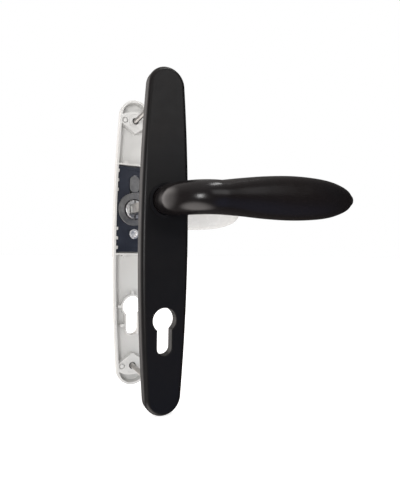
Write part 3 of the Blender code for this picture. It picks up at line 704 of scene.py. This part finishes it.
materials = {
    "dark_plate": powder_coat(
        "dark_satin_powder", colour=(0.0046, 0.0043, 0.0046), warm=(0.0072, 0.0052, 0.0046),
        cool=(0.0034, 0.0038, 0.0054), rough=0.36, specular=0.20, peel=0.35),
    "dark_lever": powder_coat(
        "dark_satin_lever", colour=(0.0056, 0.0045, 0.0046), warm=(0.0095, 0.0060, 0.0052),
        cool=(0.0034, 0.0036, 0.0054), rough=0.22, specular=0.28, peel=0.22),
    "white_plate": powder_coat(
        "white_satin_powder", colour=(0.59, 0.585, 0.57), warm=(0.61, 0.595, 0.565),
        cool=(0.57, 0.58, 0.575), rough=0.34, specular=0.5, peel=0.3),
    "white_lever": powder_coat(
        "white_satin_lever", colour=(0.64, 0.635, 0.62), warm=(0.65, 0.635, 0.61),
        cool=(0.63, 0.635, 0.63), rough=0.26, specular=0.5, peel=0.22),
    "nylon": moulded_nylon("black_nylon", (0.011, 0.014, 0.024), (0.020, 0.024, 0.037), 0.42, specular=0.45),
    "bush": moulded_nylon("neck_nylon", (0.004, 0.004, 0.005), (0.007, 0.007, 0.008), 0.65, specular=0.1),
    "cam": cast_metal("grey_zinc", (0.24, 0.24, 0.245), (0.34, 0.34, 0.34), rough=0.46),
    "zinc": cast_metal("bare_zinc", (0.64, 0.64, 0.65), (0.78, 0.78, 0.78), rough=0.34),
    "eyelet": cast_metal("bright_zinc", (0.88, 0.88, 0.88), (0.97, 0.97, 0.97), rough=0.5),
    "steel": drawn_steel(
        "plated_steel", dark=(0.31, 0.305, 0.295), light=(0.42, 0.415, 0.40),
        rough=0.50, stretch=(1400.0, 60.0, 1400.0)),
    "spring": drawn_steel(
        "spring_steel", dark=(0.22, 0.22, 0.23), light=(0.36, 0.36, 0.37),
        rough=0.28, stretch=(500.0, 500.0, 500.0)),
}


# ---------------------------------------------------------------- plates

def plate_shell():
    """The hollow plate: floor, filleted inner wall, rim, outer wall and rounded front edge."""
    wall = PLATE_WALL - WALL_DRAFT
    fillet = FLOOR_FILLET
    profile = [(PLATE_WALL + fillet * (1 - s), PLATE_FLOOR - fillet * (1 - c)) for c, s in quarter(5)]
    profile += [(wall - RIM_EDGE * (1 - c), RIM_EDGE * (1 - s)) for c, s in quarter(3)]
    profile += [(RIM_EDGE * (1 - s), RIM_EDGE * (1 - c)) for c, s in quarter(3)]
    profile += [(EDGE_RADIUS * (1 - c), PLATE_DEPTH - EDGE_RADIUS * (1 - s)) for c, s in quarter(12)]
    return skin([flat_ring(plate_loop(inset), depth) for inset, depth in profile])


def plate_casts():
    """Bosses, ribs and the keyhole collar that stand up from the plate's floor."""
    sunk = PLATE_FLOOR + CAST_SUNK
    casts = [rounded_slab(boss_loop(way), BOSS_FACE, sunk, BOSS_EDGE) for way in (1, -1)]
    casts += [rounded_slab(rib_loop(way), RIB_FACE, sunk, RIB_EDGE) for way in (1, -1)]
    casts.append(rounded_slab(keyhole_loop(COLLAR_WALL), PLATE_DEPTH - COLLAR_DEPTH, sunk, COLLAR_EDGE))
    return joined(casts)


def collar_feet():
    """Round-ended feet that stand out from the keyhole collar."""
    face = PLATE_DEPTH - COLLAR_DEPTH + FOOT_SET_BACK
    rows = [(0.0, FOOT_REACH, 0.0, KEY_RADIUS + GAP)]
    for way in (-1, 1):
        rows.append((way * FOOT_REACH, 0.0, way * (KEY_RADIUS + GAP), 0.0))
        rows.append((way * SLOT_FOOT_REACH, -SLOT_FOOT_DROP, way * (KEY_SLOT + GAP), -SLOT_FOOT_DROP))
    feet = []
    for end_x, end_y, root_x, root_y in rows:
        out = math.degrees(math.atan2(end_y - root_y, end_x - root_x))
        across = math.radians(out + 90)
        dx, dy = FOOT_RADIUS * math.cos(across), FOOT_RADIUS * math.sin(across)
        loop = arc(end_x, end_y, FOOT_RADIUS, out - 90, out + 90, 20)
        loop += [(root_x + dx, root_y + dy), (root_x - dx, root_y - dy)]
        loop = [(x, y - CYLINDER_DROP) for x, y in loop]
        feet.append(rounded_slab(loop, face, PLATE_FLOOR + FOOT_SUNK, COLLAR_EDGE))
    return joined(feet)


def plate_lugs():
    """Square lugs on the inner walls, which fit the cassette's notches."""
    sunk = PLATE_FLOOR + LUG_SUNK
    lugs = []
    for way in (-1, 1):
        for middle, reach in lug_rows():
            wall = half_width(middle) - PLATE_WALL
            left, right = sorted((way * (wall + WALL_LAP), way * (wall - reach - GAP)))
            outline = box_outline(left, right, middle - LUG_HEIGHT / 2, middle + LUG_HEIGHT / 2)
            lugs.append(rounded_slab(soften(outline, LUG_CORNER), COVER_FACE, sunk, LUG_EDGE))
    return joined(lugs)


def screw_hole(centre, through):
    """A countersunk through hole with a wide mouth, or a blind hole."""
    bore = SCREW_RADIUS + GAP
    if through:
        seat, mouth = HEAD_RADIUS + GAP, SCREW_MOUTH + MOUTH_BEVEL
        outline = [
            (0.0, PLATE_DEPTH + PAST), (seat + SEAT_EDGE, PLATE_DEPTH + PAST),
            (seat + SEAT_EDGE, PLATE_DEPTH), (seat, PLATE_DEPTH - SEAT_EDGE), (seat, HEAD_TOP - GAP),
            (bore, SCREW_HOLE_TOP), (bore, SCREW_HOLE_STEP), (SCREW_MOUTH, SCREW_HOLE_STEP),
            (SCREW_MOUTH, BOSS_FACE + MOUTH_BEVEL), (mouth, BOSS_FACE), (mouth, -PAST), (0.0, -PAST),
        ]
    else:
        mouth = bore + BLIND_BEVEL
        outline = [
            (0.0, SCREW_HOLE_TOP), (bore, SCREW_HOLE_TOP), (bore, BOSS_FACE + BLIND_BEVEL),
            (mouth, BOSS_FACE), (mouth, -PAST), (0.0, -PAST),
        ]
    return lathe(outline, 0.0, centre, 48)


def ring_cut(inner, outer, depth, x, y, steps):
    """A cutter for a ring-shaped groove in a boss."""
    return lathe([(inner, -PAST), (inner, depth), (outer, depth), (outer, -PAST)], x, y, steps, closed=True)


def plate_mesh(through):
    holes = [hole_tool(keyhole_loop(0), -PAST, PLATE_DEPTH, KEY_EDGE)]
    holes.append(hole_tool(circle(0, 0, BUSH_RADIUS + GAP, 96), BEARING_BACK, PLATE_DEPTH, BEARING_EDGE))
    for way in (1, -1):
        centre = screw_height(way)
        for x in (-PIP_OFFSET, PIP_OFFSET):
            holes.append(ring_cut(PIP_RADIUS, PIP_WELL, PIP_DEPTH, x, centre, 32))
        holes.append(screw_hole(centre, through))
        holes.append(ring_cut(*MOUTH_STEP, MOUTH_STEP_DEPTH, 0.0, centre, 64))
    return combined(plate_shell(), [
        ("UNION", plate_casts()),
        ("UNION", collar_feet()),
        ("UNION", plate_lugs()),
        ("DIFFERENCE", joined(holes)),
    ])


# ---------------------------------------------------------------- levers

def spline_value(stations, column, where):
    """A column of the stations on a smooth curve through them."""
    keys = [row[0] for row in stations]
    values = [row[column] for row in stations]
    last = len(keys) - 2
    i = max(0, min(last, sum(key <= where for key in keys) - 1))

    def slope(k):
        low, high = max(k - 1, 0), min(k + 1, len(keys) - 1)
        return (values[high] - values[low]) / (keys[high] - keys[low])

    span = keys[i + 1] - keys[i]
    t = (where - keys[i]) / span
    rise = values[i + 1] - values[i]
    bend_in = slope(i) * span - rise
    bend_out = rise - slope(i + 1) * span
    return values[i] + t * rise + t * (1 - t) * ((1 - t) * bend_in + t * bend_out)


def eased(t):
    return t * t * (3 - 2 * t)


def lever_rows():
    """Centre, direction angle from straight out, half height, half thickness and rise, root to tip."""
    rows = []
    bend_start = GRIP_DEPTH - BEND_RADIUS
    for i in range(NECK_STEPS):
        depth = NECK_START + (bend_start - NECK_START) * i / NECK_STEPS
        rows.append((0.0, depth, 0.0, *[spline_value(NECK_STATIONS, c, depth) for c in (1, 2, 3)]))
    start, stop = NECK_STATIONS[-1], GRIP_STATIONS[0]
    for i in range(BEND_STEPS):
        share = i / BEND_STEPS
        angle = math.radians(90 * share)
        x = BEND_RADIUS * (1 - math.cos(angle))
        depth = bend_start + BEND_RADIUS * math.sin(angle)
        rows.append((x, depth, angle, *[start[c] + (stop[c] - start[c]) * eased(share) for c in (1, 2, 3)]))
    last = GRIP_STATIONS[-1]
    for i in range(GRIP_STEPS + 1):
        x = BEND_RADIUS + (last[0] - BEND_RADIUS) * (1 - (1 - i / GRIP_STEPS) ** GRIP_CROWDING)
        rows.append((x, GRIP_DEPTH, math.pi / 2, *[spline_value(GRIP_STATIONS, c, x) for c in (1, 2, 3)]))
    for c, s in quarter(TIP_STEPS)[1:-1]:
        x = last[0] + (TIP - last[0]) * s
        rows.append((x, GRIP_DEPTH, math.pi / 2, last[1] * c, last[2] * c, last[3]))
    return rows


def lever_mesh():
    """Oval rings along the neck, the bend and the grip, with a bore for the hub's spigot."""
    turns = [2 * math.pi * k / LEVER_SIDES for k in range(LEVER_SIDES)]
    rings = []
    for x, depth, angle, half_height, half_thick, rise in lever_rows():
        ring = []
        for turn in turns:
            across = half_thick * math.cos(turn)
            height = rise + half_height * math.sin(turn)
            ring.append((x - across * math.cos(angle), height, depth + across * math.sin(angle)))
        rings.append(ring)
    bore = HUB_SPIGOT + GAP
    outline = [(0.0, NECK_BORE_HIGH), (bore, NECK_BORE_HIGH), (bore, NECK_BORE_LOW), (0.0, NECK_BORE_LOW)]
    cutter = lathe(soften(outline, NECK_BORE_EDGE, closed=False), steps=48)
    return combined(skin(rings), [("DIFFERENCE", cutter)])


# ---------------------------------------------------------------- hub, bush, circlip

def hub_mesh():
    """The drive hub: spigot, circlip groove, square bore and two slots for the cam's keys."""
    groove = HUB_RADIUS - GROOVE_DEPTH
    profile = [
        (0.0, HUB_SPIGOT_TOP), (HUB_SPIGOT, HUB_SPIGOT_TOP), (HUB_SPIGOT, NECK_START - GAP),
        (HUB_RADIUS, NECK_START - GAP), (HUB_RADIUS, GROOVE_HIGH), (groove, GROOVE_HIGH),
        (groove, GROOVE_LOW), (HUB_RADIUS, GROOVE_LOW), (HUB_RADIUS, HUB_FOOT), (0.0, HUB_FOOT),
    ]
    half = HUB_SQUARE / 2
    square = soften(box_outline(-half, half, -half, half), HUB_EDGE)
    mouth = inset_loop(square, -HUB_FLARE)
    bore = skin([
        flat_ring(mouth, -2 * PAST), flat_ring(mouth, HUB_FOOT),
        flat_ring(square, HUB_FOOT + HUB_FLARE_DEPTH), flat_ring(square, NECK_BORE_HIGH),
    ])
    slots = []
    for way in (1, -1):
        bottom, top = sorted((way * HUB_SLOT_INNER, way * (HUB_RADIUS + 2 * PAST)))
        slot = box_outline(-HUB_SLOT_HALF, HUB_SLOT_HALF, bottom, top)
        slots.append(rounded_slab(slot, -2.5 * PAST, HUB_SLOT_DEPTH))
    body = lathe(soften(profile, HUB_EDGE, closed=False))
    return combined(body, [("DIFFERENCE", bore), ("DIFFERENCE", joined(slots))])


def bush_mesh():
    bore = NECK_RADIUS + GAP
    face = PLATE_DEPTH + GAP
    profile = [
        (bore, face + BUSH_HEIGHT), (BUSH_FLANGE, face + BUSH_HEIGHT), (BUSH_FLANGE, face),
        (BUSH_RADIUS, face), (BUSH_RADIUS, BUSH_FOOT), (bore, BUSH_FOOT),
    ]
    return lathe(soften(profile, BUSH_EDGE), closed=True)


def circlip_mesh():
    """A flat ring with its opening at the top."""
    start, stop = 90 + CIRCLIP_OPENING / 2, 450 - CIRCLIP_OPENING / 2
    ring = arc(0, 0, CIRCLIP_OUTER, start, stop, 90) + arc(0, 0, CIRCLIP_INNER, stop, start, 80)
    outline = soften(ring, CIRCLIP_CORNER)
    return rounded_slab(outline, CIRCLIP_LOW, CIRCLIP_HIGH, CIRCLIP_EDGE, CIRCLIP_EDGE, steps=2)


# ---------------------------------------------------------------- spring cassette

def anchor_window(half):
    """The slot that the spring anchor sits in, open down to the ring."""
    top = arc(0, ANCHOR_TOP - ANCHOR_HALF_WIDTH, half, 0, 180, 32)
    return [(half, SEAT_FOOT)] + top + [(-half, SEAT_FOOT)]


def rivet_hole(depths):
    return rounded_slab(circle(0, -RIVET_DROP, RIVET_SHANK + GAP), *depths)


def cover_mesh():
    """The cassette's lid, with its openings and two sunk panels."""
    outline = soften(cassette_loop(), CASSETTE_CORNER, steps=3)
    lid = rounded_slab(outline, COVER_FACE, COVER_BACK, CASSETTE_EDGE)
    holes = [rounded_slab(circle(0, 0, CAM_RADIUS + GAP, 128), *LID_CUT), rivet_hole(LID_CUT)]
    window = rounded_slab(anchor_window(ANCHOR_HALF_WIDTH + GAP), *LID_CUT)
    sunk = []
    for low, high in COVER_SUNK_SPANS:
        panel = soften(box_outline(-COVER_SUNK_HALF, COVER_SUNK_HALF, low, high), COVER_SUNK_CORNER)
        sunk.append(rounded_slab(panel, -PAST, COVER_FACE + COVER_SUNK_DEPTH, high_round=CASSETTE_EDGE))
    return combined(lid, [
        ("DIFFERENCE", joined(holes)),
        ("DIFFERENCE", window),
        ("DIFFERENCE", joined(sunk)),
    ])


def cassette_body_mesh():
    """The cassette's frame: room for the coil, and for the cam's tab to swing at the top."""
    outline = soften(cassette_loop(), CASSETTE_CORNER, steps=3)
    body = rounded_slab(outline, BODY_FRONT, BODY_BACK, CASSETTE_EDGE, CASSETTE_EDGE)
    right, left = 90 - FAN_HALF_ANGLE, 90 + FAN_HALF_ANGLE
    space = arc(0, 0, FAN_SPACE, right, left, 40) + arc(0, 0, COIL_SPACE, left, 360 + right, 90)[1:-1]
    return combined(body, [
        ("DIFFERENCE", rounded_slab(space, *CASE_CUT)),
        ("DIFFERENCE", rounded_slab(anchor_window(ANCHOR_SEAT_HALF), *CASE_CUT)),
        ("DIFFERENCE", rivet_hole(CASE_CUT)),
    ])


def cam_mesh():
    """The grey ring round the hub, with its sleeve, drive keys and the tab between the spring's legs."""
    profile = [
        (CAM_BORE, CAM_FACE), (CAM_BORE, SLEEVE_BACK), (SLEEVE_RADIUS, SLEEVE_BACK),
        (SLEEVE_RADIUS, CAM_BACK), (CAM_RADIUS, CAM_BACK), (CAM_RADIUS, CAM_FACE),
    ]
    ring = lathe(soften(profile, CAM_EDGE), steps=128, closed=True)
    right, left = 90 - TAB_HALF_ANGLE, 90 + TAB_HALF_ANGLE
    tab = arc(0, 0, TAB_OUTER, right, left, 12) + arc(0, 0, TAB_INNER, left, right, 12)
    keys = []
    for way in (1, -1):
        bottom, top = sorted(way * reach for reach in DRIVE_KEY_REACH)
        key = box_outline(-DRIVE_KEY_HALF, DRIVE_KEY_HALF, bottom, top)
        keys.append(rounded_slab(key, *DRIVE_KEY_DEPTH, DRIVE_KEY_EDGE, DRIVE_KEY_EDGE))
    return combined(ring, [
        ("UNION", rounded_slab(tab, *TAB_DEPTH, high_round=CASSETTE_EDGE)),
        ("UNION", joined(keys)),
    ])


def anchor_mesh():
    """The spring's anchor: a round-ended head on a stem whose nose goes between the spring's legs."""
    half = ANCHOR_HALF_WIDTH
    foot = CAM_RADIUS + 2 * GAP + half
    outline = arc(0, ANCHOR_TOP - half, half, 0, 180, 36) + arc(0, foot, half, 180, 360, 36)
    head = rounded_slab(outline, ANCHOR_FACE, ANCHOR_BACK, ANCHOR_EDGE, steps=4)
    tip, neck = ANCHOR_NOSE
    right = [(ANCHOR_NOSE_HALF, tip), (ANCHOR_NOSE_HALF, neck), (ANCHOR_STEM_HALF, ANCHOR_STEM_FOOT)]
    left = [(-x, y) for x, y in reversed(right)]
    stem = right + arc(0, ANCHOR_TOP - half, ANCHOR_STEM_HALF, 0, 180, 20) + left
    return combined(head, [("UNION", rounded_slab(stem, ANCHOR_STEM_FACE, BODY_BACK - GAP))])


def rivet_mesh():
    """A rivet with a cup in its head."""
    profile = [
        (0.0, BODY_BACK), (RIVET_SHANK, BODY_BACK), (RIVET_SHANK, COVER_FACE - GAP),
        (RIVET_RADIUS, COVER_FACE - GAP), (RIVET_RADIUS, RIVET_FACE), (RIVET_LIP, RIVET_FACE),
        (RIVET_CUP, RIVET_CUP_DEPTH), (0.0, RIVET_CUP_DEPTH),
    ]
    return lathe(soften(profile, RIVET_EDGE, closed=False), 0.0, -RIVET_DROP, 64)


def spring_mesh():
    """Round wire along a leg, the turns of the coil and the other leg."""
    bend = math.asin(SPRING_LEG_X / SPRING_RADIUS)
    first, last = math.pi / 2 - bend, math.pi / 2 + bend - 2 * math.pi * SPRING_TURNS
    line = [Vector((SPRING_LEG_X, SPRING_LEG_TOP, SPRING_BASE))]
    for i in range(SPRING_STEPS + 1):
        share = i / SPRING_STEPS
        angle = first + (last - first) * i / SPRING_STEPS
        depth = SPRING_BASE + SPRING_PITCH * share * (first - last) / (2 * math.pi)
        line.append(Vector((SPRING_RADIUS * math.cos(angle), SPRING_RADIUS * math.sin(angle), depth)))
    line.append(Vector((-SPRING_LEG_X, SPRING_LEG_TOP, line[-1].z)))
    turns = [2 * math.pi * k / SPRING_SIDES for k in range(SPRING_SIDES)]
    wire = SPRING_WIRE / 2
    rings = []
    for i, point in enumerate(line):
        along = (line[min(i + 1, len(line) - 1)] - line[max(i - 1, 0)]).normalized()
        across = along.cross(Vector((0, 0, 1))).normalized()
        up = across.cross(along)
        rings.append([tuple(point + (across * math.cos(t) + up * math.sin(t)) * wire) for t in turns])
    return skin(rings)


# ---------------------------------------------------------------- what joins the two handles

def spindle_mesh():
    """The square bar, bevelled at its ends, in world coordinates."""
    half = SPINDLE_SIZE / 2
    end = SPINDLE_LENGTH / 2
    loop = soften(box_outline(-half, half, -half, half), SPINDLE_EDGE)
    cut = inset_loop(loop, SPINDLE_END_BEVEL)
    inner = end - SPINDLE_END_BEVEL
    return skin([
        [(x, depth, y) for x, y in ring]
        for ring, depth in ((cut, -end), (loop, -inner), (loop, inner), (cut, end))
    ])


def screw_mesh(way):
    """An M4 countersunk screw: thread from the tip, plain neck, head with a cross recess."""
    tip = -(2 * HALF_DOOR + SCREW_TIP)
    centre = screw_height(way)
    turns = int((THREAD_TOP - tip) / THREAD_PITCH)
    shares = [k / SCREW_SIDES for k in range(SCREW_SIDES)]

    def plain_ring(radius, depth):
        angles = [2 * math.pi * share for share in shares]
        return [(radius * math.cos(a), centre + radius * math.sin(a), depth) for a in angles]

    def thread_ring(turned):
        """A ring of the thread, a number of turns from its start."""
        fade = max(0.0, min(1.0, turned / THREAD_FADE, (turns - turned) / THREAD_FADE))
        depth = tip + TIP_CHAMFER + turned * THREAD_PITCH
        ring = []
        for share in shares:
            a = 2 * math.pi * share
            groove = 0.5 + 0.5 * math.cos(2 * math.pi * ((turned - share) % 1.0))
            radius = SCREW_RADIUS - THREAD_DEPTH * groove * fade
            ring.append((radius * math.cos(a), centre + radius * math.sin(a), depth))
        return ring

    rings = [plain_ring(SCREW_RADIUS - TIP_CHAMFER, tip)]
    rings += [thread_ring(i / THREAD_SAMPLES) for i in range(turns * THREAD_SAMPLES + 1)]
    rings += [
        plain_ring(SCREW_RADIUS, HEAD_FOOT),
        plain_ring(HEAD_RADIUS - HEAD_CORNER, HEAD_TOP - HEAD_RIM - HEAD_CORNER),
        plain_ring(HEAD_RADIUS, HEAD_TOP - HEAD_RIM),
        plain_ring(HEAD_RADIUS, HEAD_TOP - HEAD_EDGE),
        plain_ring(HEAD_RADIUS - HEAD_EDGE, HEAD_TOP),
    ]
    cross = []
    for x, y in ((1, 1), (-1, 1), (-1, -1), (1, -1)):
        corner = [(x * RECESS_ARM, y * RECESS_HALF), (x * RECESS_HALF, y * RECESS_HALF)]
        corner.append((x * RECESS_HALF, y * RECESS_ARM))
        cross += corner if x * y > 0 else reversed(corner)
    wide = [(x, y + centre) for x, y in cross]
    narrow = [(x * RECESS_TAPER, y * RECESS_TAPER + centre) for x, y in cross]
    recess = skin([
        flat_ring(narrow, HEAD_TOP - RECESS_DEPTH),
        flat_ring(wide, HEAD_TOP),
        flat_ring(wide, HEAD_TOP + PAST),
    ])
    return combined(skin(rings), [("DIFFERENCE", recess)])


# ---------------------------------------------------------------- all the pieces

def build():
    lever, hub, bush, circlip = lever_mesh(), hub_mesh(), bush_mesh(), circlip_mesh()
    cover, case, cam = cover_mesh(), cassette_body_mesh(), cam_mesh()
    anchor, rivet, spring = anchor_mesh(), rivet_mesh(), spring_mesh()
    for word, side in (("outside", -1), ("inside", 1)):
        tone = "dark" if side < 0 else "white"
        handle = word + "_handle"
        rows = (
            ("plate_casting", plate_mesh(side > 0), f"{tone}_plate", "plates", "plate", f"{tone}_paint"),
            ("lever_casting", lever, f"{tone}_lever", handle, "lever", f"{tone}_paint_lever"),
            ("hub_casting", hub, "zinc", handle, "hub", "bare_zinc"),
            ("bush_ring", bush, "bush", "plates", "neck_bush", "black_nylon"),
            ("circlip_ring", circlip, "spring", handle, "circlip", "spring_steel"),
            ("cassette_lid", cover, "nylon", "plates", "cassette_cover", "black_nylon"),
            ("cassette_case", case, "nylon", "plates", "cassette_body", "black_nylon"),
            ("cam_ring", cam, "cam", handle, "cam", "grey_zinc"),
            ("anchor_block", anchor, "cam", "plates", "spring_anchor", "grey_zinc"),
            ("rivet_cup", rivet, "eyelet", "plates", "cassette_rivet", "bare_zinc"),
            ("spring_wire", spring, "spring", "plates", "return_spring", "spring_steel"),
        )
        for name, mesh, finish, body, node, slot in rows:
            has_flats = node not in ("lever", "return_spring")
            nodes = [f"{word}_{node}"]
            add_piece(f"{word}_{name}", mesh, side, materials[finish], body, nodes, weighted=has_flats)
    steel = materials["steel"]
    add_piece("spindle_rod", spindle_mesh(), 0, steel, "spindle_bar", ["spindle"])
    for word, way in (("upper", 1), ("lower", -1)):
        name, nodes = f"{word}_screw_rod", [f"{word}_screw"]
        add_piece(name, screw_mesh(way), 1, steel, "plates", nodes, weighted=False)


# ---------------------------------------------------------------- floor, light and camera

FLOOR_SIZE = 6.0
FLOOR_CELLS = 12
FLOOR_DROP = 0.0001
FLOOR_GLOW = 0.70

# The light that pieces see from the sky, from level to straight up
SKY_LOW, SKY_HIGH = 0.26, 0.90
# What multiplies it near a direction: the direction, the cosines of the angles from it where the change
# starts and where it is complete, and the factor there
SKY_PATCHES = (
    ((0.45, -0.80, -0.10), 0.15, 0.93, 0.45),
    ((1.0, 0.15, 0.1), 0.1, 0.95, 0.25),
    ((-0.72, 0.69, 0.05), 0.72, 0.97, 8.0),
    ((-0.42, -0.24, -0.87), 0.80, 0.97, 20.0),
    ((0.42, -0.78, -0.45), 0.86, 0.985, 2.8),
)
WARM_TINT = (1.04, 0.98, 0.95, 1.0)
COOL_TINT = (0.65, 0.85, 1.5, 1.0)
COOL_PATCH = ((0.42, -0.78, -0.45), 0.80, 0.96)
WHITE = (1.0, 1.0, 1.0, 1.0)

CAMERA_PLACE = (-0.10577, -0.32405, -0.03506)
CAMERA_YAW, CAMERA_PITCH, CAMERA_ROLL = 0.4421, 0.0006, 0.0139
CAMERA_LENS = 30.24


def add_floor():
    """A plain pale floor, which glossy reflections don't see."""
    work = bmesh.new()
    grid = bmesh.ops.create_grid(work, x_segments=FLOOR_CELLS, y_segments=FLOOR_CELLS, size=FLOOR_SIZE)
    bmesh.ops.translate(work, verts=grid["verts"], vec=(0, 0, cad_low.z - FLOOR_DROP))
    mesh = mesh_from(work, "floor")
    made = Shader("pale_floor")
    made.feed("Base Color", made.mix(made.noise(3.0), (0.90, 0.90, 0.90), (0.92, 0.92, 0.92)))
    made.set(Roughness=0.9, Specular_IOR_Level=0.1, Emission_Color=WHITE, Emission_Strength=FLOOR_GLOW)
    mesh.materials.append(made.material)
    floor = add_object("floor", mesh)
    floor.visible_glossy = False


def add_softbox(name, place, target, width, height, power):
    data = bpy.data.lights.new(name, "AREA")
    data.shape = "RECTANGLE"
    data.size = width
    data.size_y = height
    data.energy = power
    box = add_object(name, data)
    box.location = place
    box.rotation_mode = "QUATERNION"
    box.rotation_quaternion = (Vector(target) - Vector(place)).to_track_quat("-Z", "Y")


def add_world():
    """White to the camera; as light, a pale studio sky with brighter and dimmer patches for reflections."""
    world = bpy.data.worlds.new("studio")
    bpy.context.scene.world = world
    world.use_nodes = True
    nodes, links = world.node_tree.nodes, world.node_tree.links
    background = nodes["Background"]
    direction = nodes.new("ShaderNodeTexCoord").outputs["Generated"]
    camera_ray = nodes.new("ShaderNodeLightPath").outputs["Is Camera Ray"]

    def toward(way, low, high, out_low, out_high):
        """A value that changes smoothly near a direction."""
        dot = nodes.new("ShaderNodeVectorMath")
        dot.operation = "DOT_PRODUCT"
        dot.inputs[1].default_value = Vector(way).normalized()
        links.new(direction, dot.inputs[0])
        ramp = nodes.new("ShaderNodeMapRange")
        ramp.interpolation_type = "SMOOTHSTEP"
        for key, number in (("From Min", low), ("From Max", high), ("To Min", out_low), ("To Max", out_high)):
            ramp.inputs[key].default_value = number
        links.new(dot.outputs["Value"], ramp.inputs["Value"])
        return ramp.outputs["Result"]

    def times(first, second):
        made = nodes.new("ShaderNodeMath")
        made.operation = "MULTIPLY"
        links.new(first, made.inputs[0])
        links.new(second, made.inputs[1])
        return made.outputs[0]

    light = toward((0.0, 0.0, 1.0), 0.2, 1.0, SKY_LOW, SKY_HIGH)
    for way, low, high, factor in SKY_PATCHES:
        light = times(light, toward(way, low, high, 1.0, factor))
    strength = nodes.new("ShaderNodeMix")
    strength.data_type = "FLOAT"
    strength.inputs[3].default_value = 1.0
    links.new(camera_ray, strength.inputs["Factor"])
    links.new(light, strength.inputs[2])
    links.new(strength.outputs[0], background.inputs["Strength"])

    tint = nodes.new("ShaderNodeMix")
    tint.data_type = "RGBA"
    tint.inputs[6].default_value = WARM_TINT
    tint.inputs[7].default_value = COOL_TINT
    links.new(toward(*COOL_PATCH, 0.0, 1.0), tint.inputs["Factor"])
    colour = nodes.new("ShaderNodeMix")
    colour.data_type = "RGBA"
    colour.inputs[7].default_value = WHITE
    links.new(camera_ray, colour.inputs["Factor"])
    links.new(tint.outputs[2], colour.inputs[6])
    links.new(colour.outputs[2], background.inputs["Color"])


def add_camera():
    yaw, pitch, roll = CAMERA_YAW, CAMERA_PITCH, CAMERA_ROLL
    forward = Vector((math.sin(yaw) * math.cos(pitch), math.cos(yaw) * math.cos(pitch), math.sin(pitch)))
    right = Vector((math.cos(yaw), -math.sin(yaw), 0.0))
    up = right.cross(forward)
    right, up = (
        right * math.cos(roll) + up * math.sin(roll),
        up * math.cos(roll) - right * math.sin(roll),
    )
    data = bpy.data.cameras.new("camera")
    data.sensor_width = 36.0
    data.lens = CAMERA_LENS
    data.clip_start = 0.01
    camera = add_object("camera", data)
    turn = Matrix((right, up, -forward)).transposed()
    camera.matrix_world = Matrix.Translation(CAMERA_PLACE) @ turn.to_4x4()
    bpy.context.scene.camera = camera


build()
add_floor()
add_world()
add_softbox("bend", (-0.665, -1.00, 0.045), (0.02, -0.07, 0), width=0.26, height=0.34, power=5.8)
add_softbox("top", (0.22, -0.33, 1.06), (0.016, -0.09, 0), width=0.42, height=0.18, power=3.4)
add_softbox("high", (0.33, -1.20, 0.53), (0, 0, 0), width=1.0, height=0.5, power=3.2)
add_camera()
bpy.context.scene.view_settings.view_transform = "Standard"
